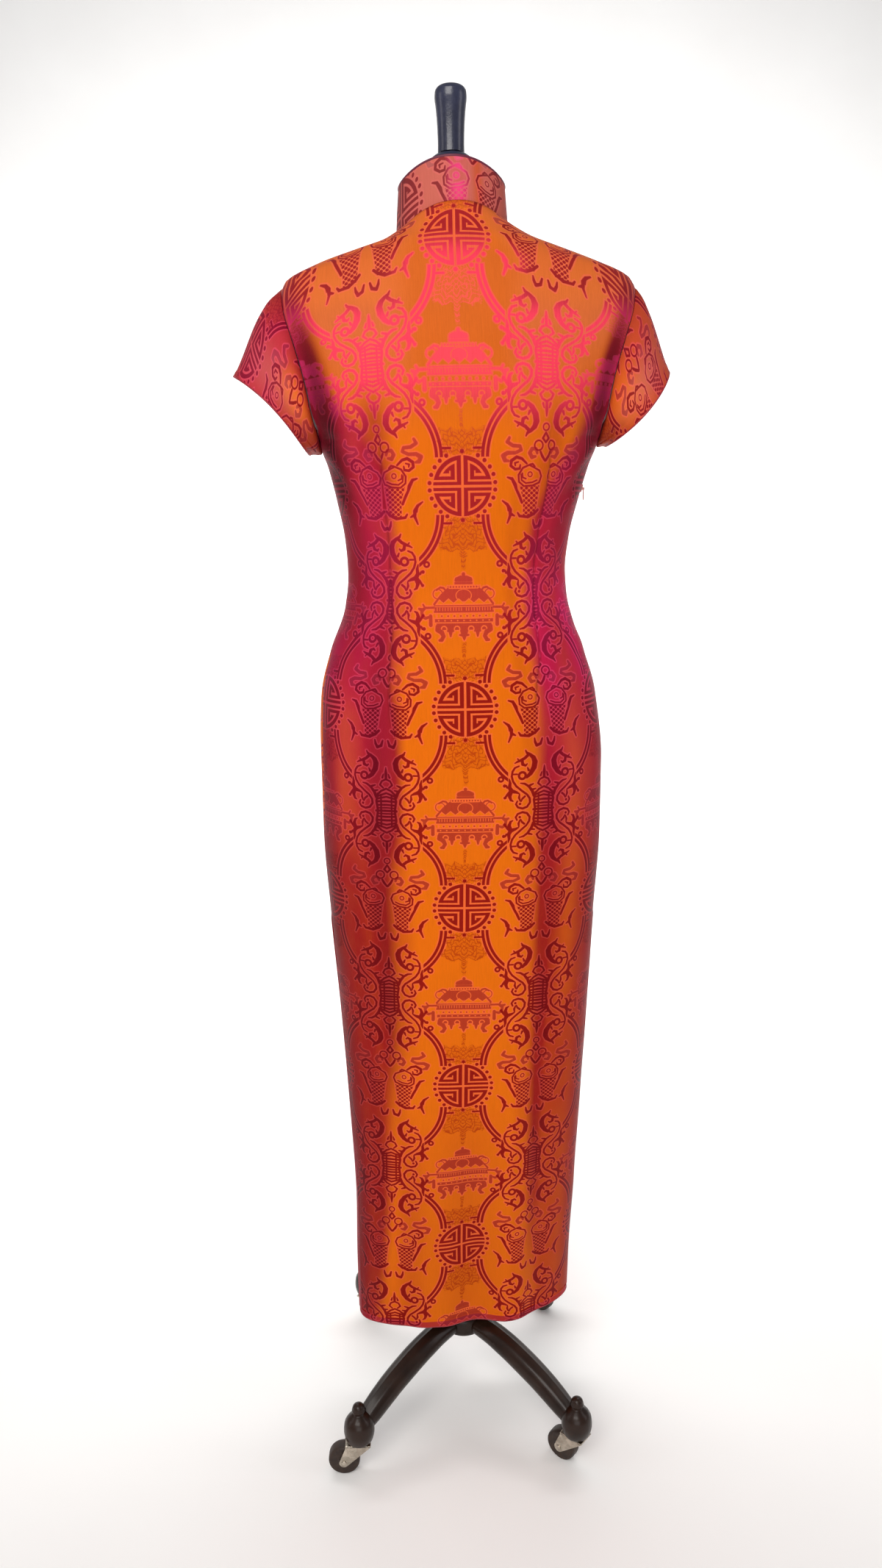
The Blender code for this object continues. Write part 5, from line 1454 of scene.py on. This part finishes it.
# %% Padded torso
FORM_BOTTOM = 78.4 * CM


def jersey():
    made, tree, shader = new_material("black_jersey")
    node = tree.nodes.new("ShaderNodeTexCoord")
    spot = Reading(tree, node.outputs["Object"])
    loops = noise(tree, spot, 900.0, 2.0, 0.5, (1.0, 1.0, 0.55))
    cloud = noise(tree, spot, 9.0, 2.0)
    share = (loops * 0.7 + cloud * 0.3).clamped()
    black = mixed(tree, share, colour("#131315"), colour("#2A2A2E"))
    tree.links.new(black.socket, shader.inputs["Base Color"])
    tree.links.new((loops * 0.2 + 0.72).socket, shader.inputs["Roughness"])
    bumped(tree, loops, shader, 0.4, 0.0004)
    shader.inputs["Sheen Weight"].default_value = 0.3
    return made


low = v_at_height(FORM_BOTTOM)
v = np.concatenate([[low], np.linspace(low + 2 * CM, NECK_V, 70)])
u = np.linspace(0, 2 * math.pi, 97)
grid_u, grid_v = (np.broadcast_to(a, (len(v), len(u))) for a in (u[None], v[:, None]))
seated = ramp(v, TIP_V - 1 * CM, TIP_V + 2 * CM)
offset = WALL + (3.0 + (0.9 - 3.0) * seated) * MM
rings = surface(grid_u, grid_v) - offset[:, None, None] * surface_normal(grid_u, grid_v)
rings[0, :, 2] = FORM_BOTTOM
rings[-1, :, :2] *= 0.97
NECK_ROWS = ((5.3, 5.2, 151.0, 1.3), (5.2, 5.1, 153.9, 0), (2.6, 2.5, 153.9, 0), (0, 0, 153.9, 0))
neck = np.stack([np.stack([half * CM * np.cos(u), depth * CM * np.sin(u), (z + rise * np.sin(u)) * CM], -1)
                 for half, depth, z, rise in NECK_ROWS])
rings[0] = rings[0] * [0.985, 0.985, 1]
floor_rings = np.stack([rings[0] * [s, s, 1] for s in (0, 0.5, 0.96)])
rings = np.concatenate([floor_rings, rings, neck])
flat = np.zeros(rings.shape[:2])
bm = net(rings, flat, flat, weld=True)
bmesh.ops.recalc_face_normals(bm, faces=bm.faces)
torso = put_in_scene("padded_torso", mesh_of("padded_torso", bm), jersey(), sharp=50)
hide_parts("form_torso")
print("torso:", len(torso.data.polygons), "faces")

# %% [markdown]
# Turned pieces come off a lathe: one outline is spun right round the axis. The outline is drawn
# with a few points, and the curve through them is as fine as the highlight needs.

# %% Cap and knob
def turned(name, profile, *finishes, steps=64, fine=6, keep=False):
    """An outline of (radius, height) in cm, spun round the Z axis. Each step of it gets fine points."""
    rows = np.array(profile, float) * CM
    if fine > 1:
        run = path_run(rows)
        pieces = [np.linspace(a, b, fine, endpoint=False) for a, b in zip(run, run[1:])]
        at = np.concatenate(pieces + [[run[-1]]])
        rows = np.stack([smooth(run, rows[:, 0], at), smooth(run, rows[:, 1], at)], -1)
    bm = bmesh.new()
    verts = [bm.verts.new((r, 0, z)) for r, z in rows]
    line = [bm.edges.new(pair) for pair in zip(verts, verts[1:])]
    bmesh.ops.spin(bm, geom=verts + line, axis=(0, 0, 1), cent=(0, 0, 0), steps=steps, angle=2 * math.pi,
                   use_merge=True)
    bmesh.ops.remove_doubles(bm, verts=bm.verts, dist=1e-6)
    bmesh.ops.recalc_face_normals(bm, faces=bm.faces)
    return bm if keep else put_in_scene(name, mesh_of(name, bm), *finishes, sharp=35)


def glossy(name, code, other, rough, metal=0.0, scale=60.0, spread=0.12, fleck=0.0, coat=0.0, gloss=0.5):
    """Paint or plate: two near colours in soft clouds, a fine grain, and flecks if there are any."""
    made, tree, shader = new_material(name)
    node = tree.nodes.new("ShaderNodeTexCoord")
    spot = Reading(tree, node.outputs["Object"])
    cloud = noise(tree, spot, scale, 4.0, 0.6)
    grain = noise(tree, spot, scale * 14, 2.0)
    tinted = mixed(tree, cloud.step(0.35, 0.65), colour(code), colour(other))
    tree.links.new(tinted.socket, shader.inputs["Base Color"])
    tree.links.new((grain * spread + cloud * spread + (rough - spread)).socket, shader.inputs["Roughness"])
    bumped(tree, grain * fleck + cloud, shader, 0.25, 0.0005)
    shader.inputs["Metallic"].default_value = metal
    shader.inputs["Specular IOR Level"].default_value = gloss
    shader.inputs["Coat Weight"].default_value = coat
    shader.inputs["Coat Roughness"].default_value = 0.12
    return made


navy = glossy("knob_lacquer", "#22243A", "#2C2F48", 0.34, scale=40.0, fleck=1.4, coat=0.35)
CAP_PROFILE = (
    (0.0, 153.95), (4.7, 153.95), (4.78, 154.1), (4.55, 154.32), (3.7, 154.62), (2.85, 155.05),
    (2.45, 155.6), (2.1, 156.1), (1.5, 156.46), (0.8, 156.55), (0.0, 156.56),
)
KNOB_PROFILE = (
    (0.0, 156.58), (1.44, 156.58), (1.42, 157.4), (1.47, 159.2), (1.60, 160.9), (1.72, 161.9),
    (1.67, 162.5), (1.34, 162.93), (0.8, 163.11), (0.0, 163.15),
)
cap = turned("neck_cap", CAP_PROFILE, navy)
knob = turned("top_knob", KNOB_PROFILE, navy)
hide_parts("form_neck_cap")
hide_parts("form_knob")
print("turned:", cap.name, knob.name)

# %% [markdown]
# ## The stand: pole, hub and four cast legs
#
# The form's pole drops into a cast hub, and four legs arch out from it. Each leg is an oval
# casting with a sharp rib along its back, where the two halves of the mould met and the
# founder filed the seam to an edge. The sections are circles, bridged one to the next. A ball
# with a small finial ends each leg, and a caster's stem goes up into it.

# %% Cast iron paint and nickel plate
cast = glossy("cast_enamel", "#1C0E07", "#28170E", 0.36, scale=22.0, fleck=0.5, coat=0.14, gloss=0.22)
nickel = glossy("nickel_plate", "#CCC1B2", "#A89E90", 0.27, metal=1.0, scale=90.0, spread=0.08)
rubber = glossy("wheel_tread", "#261913", "#34251C", 0.5, scale=120.0, spread=0.1, fleck=0.6, gloss=0.35)
POLE_RADIUS, LEG_YAW, LEG_REACH = 1.4, math.radians(1.0), 19.6
HUB_PROFILE = (
    (0.0, 10.1), (1.6, 10.1), (2.6, 10.2), (3.08, 10.55), (3.2, 11.0), (3.2, 11.4), (3.16, 11.9),
    (3.02, 12.45), (2.55, 12.95), (1.8, 13.3), (0.0, 13.3),
)
BULB_PROFILE = (
    (0.0, 4.55), (1.40, 4.55), (1.80, 5.2), (1.95, 6.15), (1.86, 7.1), (1.42, 7.95), (0.88, 8.42),
    (0.66, 8.62), (0.66, 8.72), (0.80, 8.86), (0.86, 9.06), (0.80, 9.30), (0.70, 9.62), (0.48, 9.86),
    (0.22, 9.99), (0.0, 10.02),
)
RIB_HALF, RIB_HEIGHT, FLUTE_OUT, FLUTE_DEPTH = 3.0 * MM, 1.1 * MM, 5.5 * MM, 0.6 * MM
LEG_ROWS = (  # out, up, width and height of each section
    (3.05, 11.55, 3.0, 2.5), (5.0, 11.5, 3.1, 2.8), (8.0, 11.0, 3.2, 3.1), (11.0, 10.15, 3.2, 3.2),
    (13.5, 9.25, 3.1, 3.2), (15.7, 8.25, 3.0, 3.1), (17.5, 7.3, 2.8, 2.9), (18.9, 6.6, 2.5, 2.6),
)


def fill_ends(bm):
    """Closes every open ring of a piece."""
    bmesh.ops.holes_fill(bm, edges=[e for e in bm.edges if e.is_boundary], sides=0)
    bmesh.ops.recalc_face_normals(bm, faces=bm.faces)


def leg():
    """One leg along +X: ribbed oval sections down its arch, bridged."""
    rows = np.array(LEG_ROWS)
    run = path_run(rows[:, :2])
    at = np.linspace(0, run[-1], 26)
    rows = np.stack([smooth(run, rows[:, k], at) for k in range(4)], -1) * CM
    slope = unit(np.gradient(rows[:, :2], axis=0))
    slope[0] = (1, 0)
    bm = bmesh.new()
    loops = []
    for (out, height, width, tall), (run_x, rise) in zip(rows, slope):
        place = Matrix(((0, -rise, run_x, out), (1, 0, 0, 0), (0, run_x, rise, height), (0, 0, 0, 1)))
        oval = place @ Matrix.Diagonal((width / 2, tall / 2, 1, 1))
        made = bmesh.ops.create_circle(bm, segments=40, radius=1, matrix=oval)["verts"]
        back = place.inverted()
        for vert in made:
            local = back @ vert.co
            if local.y > 0:
                rib = max(0.0, 1 - abs(local.x) / RIB_HALF)
                beside = max(0.0, 1 - abs(abs(local.x) - FLUTE_OUT) / RIB_HALF)
                local.y += RIB_HEIGHT * rib - FLUTE_DEPTH * beside
            vert.co = place @ local
        loops.append([e for e in bm.edges if e.verts[0] in made and e.verts[1] in made])
    for one, two in zip(loops, loops[1:]):
        bmesh.ops.bridge_loops(bm, edges=one + two)
    fill_ends(bm)
    return bm


def joined(*parts):
    """Several pieces as one mesh."""
    bm = bmesh.new()
    for part in parts:
        mesh = mesh_of("part", part)
        bm.from_mesh(mesh)
        bpy.data.meshes.remove(mesh)
    return bm


leg_bm = leg()
bulb = turned("bulb", BULB_PROFILE, steps=48, fine=4, keep=True)
bmesh.ops.translate(bulb, verts=bulb.verts, vec=(LEG_REACH * CM, 0, 0))
leg_mesh = mesh_of("stand_leg", joined(leg_bm, bulb))
for number in range(4):
    turn = math.pi / 4 + number * math.pi / 2 + LEG_YAW
    mesh = leg_mesh.copy()
    mesh.transform(Matrix.Rotation(turn, 4, "Z"))
    made = put_in_scene(f"cast_leg_{number + 1}", mesh, cast, sharp=28)
    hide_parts(f"stand_leg_{number + 1}")
    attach(made, ROOT)
hub = turned("cast_hub", HUB_PROFILE, cast)
POLE_PROFILE = (
    (0.0, 13.33), (POLE_RADIUS - 0.05, 13.33), (POLE_RADIUS, 13.38), (POLE_RADIUS, 78.3), (0.0, 78.3),
)
pole = turned("stand_tube", POLE_PROFILE, cast, fine=1)
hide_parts("stand_hub")
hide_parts("stand_pole")
print("legs:", len(leg_mesh.polygons), "faces each")

# %% [markdown]
# ## Swivel casters
#
# A caster's fork is pressed from one strip: a flat plate that takes the stem, and two cheeks
# that narrow to the axle. A cheek's outline is what a string would follow round three pegs, so
# three short pegs and their convex hull make it, and a bevel eases its edges as a press tool
# does. The axle's ends are peened over into domed rivet heads. The wheel is a turned disc with
# a rounded tread.

# %% Forks and wheels
CASTER_TRAIL, CASTER_TURNS = 2.0, tuple(math.radians(a) for a in (0, -40, -45, -120))
WHEEL_RADIUS, WHEEL_HALF, FORK_TOP, PLATE, CHEEK = 2.0, 0.95, 4.52, 0.22, 0.2
CHEEK_IN = WHEEL_HALF + 0.03  # a cheek's inner face, out from the wheel's middle
FORK_HALF = CHEEK_IN + CHEEK
RIVET_PROFILE = ((0.0, -0.05), (0.34, -0.05), (0.34, 0.03), (0.25, 0.10), (0.12, 0.13), (0.0, 0.135))
TREAD_PROFILE = (  # radius and half width, from the axle out
    (0.0, 0.93), (0.66, 0.93), (0.72, 0.90), (0.76, 0.85), (1.05, 0.83), (1.50, 0.85), (1.72, 0.85),
    (1.88, 0.78), (1.97, 0.60), (2.0, 0.35),
)


def block(low, high, round_off, segments=3):
    """A box between two corners in centimetres, its edges rounded off."""
    bm = bmesh.new()
    low, high = Vector(low) * CM, Vector(high) * CM
    placed = Matrix.Translation((low + high) / 2) @ Matrix.Diagonal((*(high - low), 1))
    bmesh.ops.create_cube(bm, size=1, matrix=placed)
    bmesh.ops.bevel(bm, geom=bm.edges[:], offset=round_off * CM, segments=segments, profile=0.5,
                    affect="EDGES", material=-1)
    return bm


def cheek(side):
    """One cheek: pegs at the axle and at the plate's two ends, wrapped in their hull, edges eased."""
    middle = side * (CHEEK_IN + CHEEK / 2)
    bm = bmesh.new()
    for x, z, radius in ((CASTER_TRAIL, WHEEL_RADIUS, 0.60), (-1.36, 4.40, 0.09), (1.60, 4.40, 0.09)):
        placed = Matrix.Translation(Vector((x, middle, z)) * CM) @ Matrix.Rotation(math.pi / 2, 4, "X")
        bmesh.ops.create_cone(bm, cap_ends=True, segments=28, radius1=radius * CM, radius2=radius * CM,
                              depth=CHEEK * CM, matrix=placed)
    hull = bmesh.ops.convex_hull(bm, input=bm.verts[:])
    within = {g for g in hull["geom_interior"] + hull["geom_unused"] if isinstance(g, bmesh.types.BMVert)}
    bmesh.ops.delete(bm, geom=list(within), context="VERTS")
    bmesh.ops.dissolve_limit(bm, angle_limit=math.radians(1), verts=bm.verts[:], edges=bm.edges[:])
    bmesh.ops.recalc_face_normals(bm, faces=bm.faces)
    rim = [e for e in bm.edges if len(e.link_faces) == 2 and e.calc_face_angle(0) > 1.2]
    bmesh.ops.bevel(bm, geom=rim, offset=0.03 * CM, segments=2, profile=0.5, affect="EDGES", material=-1)
    return bm


def rivet(side):
    """A domed head on the cheek, round the axle."""
    bm = turned("rivet", RIVET_PROFILE, steps=24, fine=3, keep=True)
    seat = Matrix.Translation(Vector((CASTER_TRAIL, side * FORK_HALF, WHEEL_RADIUS)) * CM)
    bmesh.ops.transform(bm, verts=bm.verts, matrix=seat @ Matrix.Rotation(-side * math.pi / 2, 4, "X"))
    return bm


fork_plate = block((-1.45, -FORK_HALF, FORK_TOP - PLATE), (1.78, FORK_HALF, FORK_TOP), 0.06)
fork_mesh = mesh_of("fork", joined(fork_plate, cheek(1), cheek(-1), rivet(1), rivet(-1)))
wheel_side = [(radius, -half) for radius, half in TREAD_PROFILE]
wheel_bm = turned("wheel", (*wheel_side, *reversed(TREAD_PROFILE)), steps=56, fine=2, keep=True)
bmesh.ops.transform(wheel_bm, verts=wheel_bm.verts, matrix=Matrix.Rotation(math.pi / 2, 4, "X"))
wheel_mesh = mesh_of("wheel", wheel_bm)
for number, turn in enumerate(CASTER_TURNS):
    around = math.pi / 4 + number * math.pi / 2 + LEG_YAW
    swivel = Vector((math.cos(around), math.sin(around), 0)) * LEG_REACH * CM
    trail = Matrix.Rotation(turn, 3, "Z") @ Vector((CASTER_TRAIL * CM, 0, 0))
    axle = swivel + trail + Vector((0, 0, WHEEL_RADIUS * CM))
    for mesh, name, finish, node, where, slot, rides in (
        (fork_mesh, "plated_fork", nickel, "caster_fork", swivel, "nickel", "caster"),
        (wheel_mesh, "rolling_wheel", rubber, "caster_wheel", axle, "wheel_rubber", "wheel"),
    ):
        mesh = mesh.copy()
        mesh.transform(Matrix.Translation(where) @ Matrix.Rotation(turn, 4, "Z"))
        made = put_in_scene(f"{name}_{number + 1}", mesh, finish, sharp=35)
        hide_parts(f"{node}_{number + 1}")
        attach(made, f"{rides}_{number + 1}")
print("casters swivel", [round(math.degrees(t)) for t in CASTER_TURNS], "degrees")

# %% [markdown]
# ## The zip at the side
#
# The dress closes at the wearer's right side with a fine zip that hides in the seam. Only its
# slider and pull show, under the armhole, lacquered pale pink to go with the silk.

# %% Slider and pull
lacquer = glossy("zip_lacquer", "#EBA9A0", "#DE9088", 0.3, scale=300.0, spread=0.06, coat=0.4)
ZIP_Z = 121.7 * CM
v = np.array(v_at_height(ZIP_Z))
out = Vector(surface_normal(math.pi, v))
across = Vector((0, 0, 1)).cross(out).normalized()
seat = Matrix((out, across, out.cross(across))).transposed().to_4x4()
seat.translation = Vector(surface(math.pi, v))
plate = block((0.06, -0.24, -0.45), (0.19, 0.24, 0.45), 0.05)
for face_side in (-1, 1):
    bmesh.ops.transform(plate, verts=[p for p in plate.verts if p.co.z < 0 and p.co.y * face_side > 0],
                        matrix=Matrix.Translation((0, -face_side * 0.4 * MM, 0)))
ears = [block((0.13, low, -0.16), (0.43, low + 0.10, 0.16), 0.035) for low in (-0.21, 0.11)]
slider_mesh = mesh_of("slider", joined(plate, *ears))
slider_mesh.transform(seat)
slider = put_in_scene("lacquered_slider", slider_mesh, lacquer)
tab = block((-0.06, -0.24, -1.25), (0.06, 0.24, 0.10), 0.03, 2)
long_edges = [e for e in tab.edges if abs((e.verts[0].co - e.verts[1].co).z) > 0.5 * CM]
bmesh.ops.subdivide_edges(tab, edges=long_edges, cuts=14)
for vert in tab.verts:
    z = vert.co.z / CM
    narrow = float(smooth([-1.25, -1.12, -0.9, -0.55, -0.30, 0.1], [0.50, 0.86, 1.0, 0.92, 0.36, 0.34], z))
    vert.co.y *= narrow
axis_out = 0.06 + 0.13 + 0.24 * 0.55  # centimetres from the cloth to the pull's hinge
hang = Matrix((across.cross(Vector((0, 0, 1))), across, (0, 0, 1))).transposed().to_4x4()
hang.translation = seat @ Vector((axis_out * CM, 0, 0))
tab_mesh = mesh_of("tab", tab)
tab_mesh.transform(hang)
pull = put_in_scene("lacquered_pull", tab_mesh, lacquer)
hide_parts("zip_slider")
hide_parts("zip_pull")
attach(pull, "zip_tab")
print("the zip's slider sits", round(ZIP_Z / MM), "mm up")

# %% [markdown]
# ## Who moves with what, and what the cloth was
#
# Everything but the casters, their wheels and the zip's pull is one body. The size and area of
# each silk piece's flat cut are printed.

# %% Bodies, and the size of each sheet
silk_pieces = (back, front, shoulder, collar, *[made for made, *_ in sleeves])
edgings = (back_roll, front_roll, placket_roll, collar_roll, *sleeve_rolls, *frogs)
for made in (*silk_pieces, *edgings, torso, cap, knob, hub, pole, slider):
    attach(made, ROOT)
for made, node in zip(silk_pieces[:4], ("back_panel", "front_main", "front_shoulder", "collar")):
    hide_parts(node)
for made, (flat, area), held, extra in (
    (back, back_cut, "hung", [back_roll]),
    (front, front_cut, "hung", [front_roll, placket_roll, *frogs]),
    (shoulder, shoulder_cut, "hung", []),
    (collar, collar_cut, "stretched", [collar_roll]),
    *[(made, cut, "hung", [roll]) for (made, *cut), roll in zip(sleeves, sleeve_rolls)],
):
    print(f"{made.name}: {flat[0] * 100:.1f} x {flat[1] * 100:.1f} cm cut, {area * 1e4:.0f} cm2")

# %% [markdown]
# ## Floor, light and camera
#
# A pale seamless floor that curves up into a backdrop, and the light of a plain studio: one
# broad lamp high before the back of the dress, a weak one low before it, one at each side so
# that the edges of the satin catch a rim, two that only whiten the backdrop, and a dim even sky.

# %% Stage
def stage_floor():
    bm = bmesh.new()
    bmesh.ops.create_grid(bm, x_segments=1, y_segments=60, size=6)
    for vert in bm.verts:
        back_up = max(0.0, -vert.co.y - 2.2)
        vert.co.z = min(back_up**2 * 0.5, 6.0)
    return mesh_of("floor", bm)


paper, tree, shader = new_material("pale_paper")
node = tree.nodes.new("ShaderNodeTexCoord")
fleck = noise(tree, Reading(tree, node.outputs["Object"]), 3.0, 3.0)
tree.links.new(mixed(tree, fleck, colour("#F4F2F0"), colour("#FAF9F7")).socket, shader.inputs["Base Color"])
shader.inputs["Roughness"].default_value = 0.9
floor = put_in_scene("floor", stage_floor(), paper)


def lamp(name, place, towards, size, power, tint=(1, 1, 1)):
    data = bpy.data.lights.new(name, "AREA")
    data.shape, data.size, data.size_y, data.energy, data.color = "RECTANGLE", *size, power, tint
    made = bpy.data.objects.new(name, data)
    made.location = place
    made.rotation_euler = (Vector(towards) - Vector(place)).to_track_quat("-Z", "Y").to_euler()
    bpy.context.scene.collection.objects.link(made)


lamp("key", (0.7, 2.6, 2.9), (0, 0, 0.95), (2.2, 1.6), 70, (1.0, 0.97, 0.93))
lamp("left", (2.6, 0.5, 1.5), (0, 0, 0.8), (0.8, 2.2), 8, (1.0, 0.95, 0.95))
lamp("right", (-2.6, 0.6, 1.6), (0, 0, 0.8), (0.8, 2.2), 10, (1.0, 0.95, 0.97))
lamp("front", (0.0, 2.4, 0.7), (0, 0, 0.6), (1.6, 0.9), 10)
lamp("backdrop", (0.0, -0.9, 2.3), (0, -3.4, 0.4), (3.4, 1.2), 105)
lamp("backdrop_top", (0.0, -1.0, 2.6), (0, -4.9, 3.4), (3.2, 0.8), 80)
world = bpy.data.worlds.new("studio")
world.use_nodes = True
world.node_tree.nodes["Background"].inputs["Color"].default_value = (0.86, 0.87, 0.9, 1)
world.node_tree.nodes["Background"].inputs["Strength"].default_value = 0.30
bpy.context.scene.world = world
bpy.context.scene.view_settings.view_transform = "Standard"

EYE_PLACE, EYE_PITCH, EYE_ROLL = (0.0205, 1.34, 1.204), math.radians(76), math.radians(-0.82)
eye = bpy.data.cameras.new("eye")
eye.lens, eye.sensor_width, eye.clip_start, eye.clip_end = 25.99, 36, 0.05, 50
camera = bpy.data.objects.new("eye", eye)
camera.matrix_world = (Matrix.Translation(EYE_PLACE) @ Matrix.Rotation(math.pi, 4, "Z")
                       @ Matrix.Rotation(EYE_PITCH, 4, "X") @ Matrix.Rotation(EYE_ROLL, 4, "Z"))
bpy.context.scene.collection.objects.link(camera)
bpy.context.scene.camera = camera
print("the stage is set")

# %% [markdown]
# ## Finish
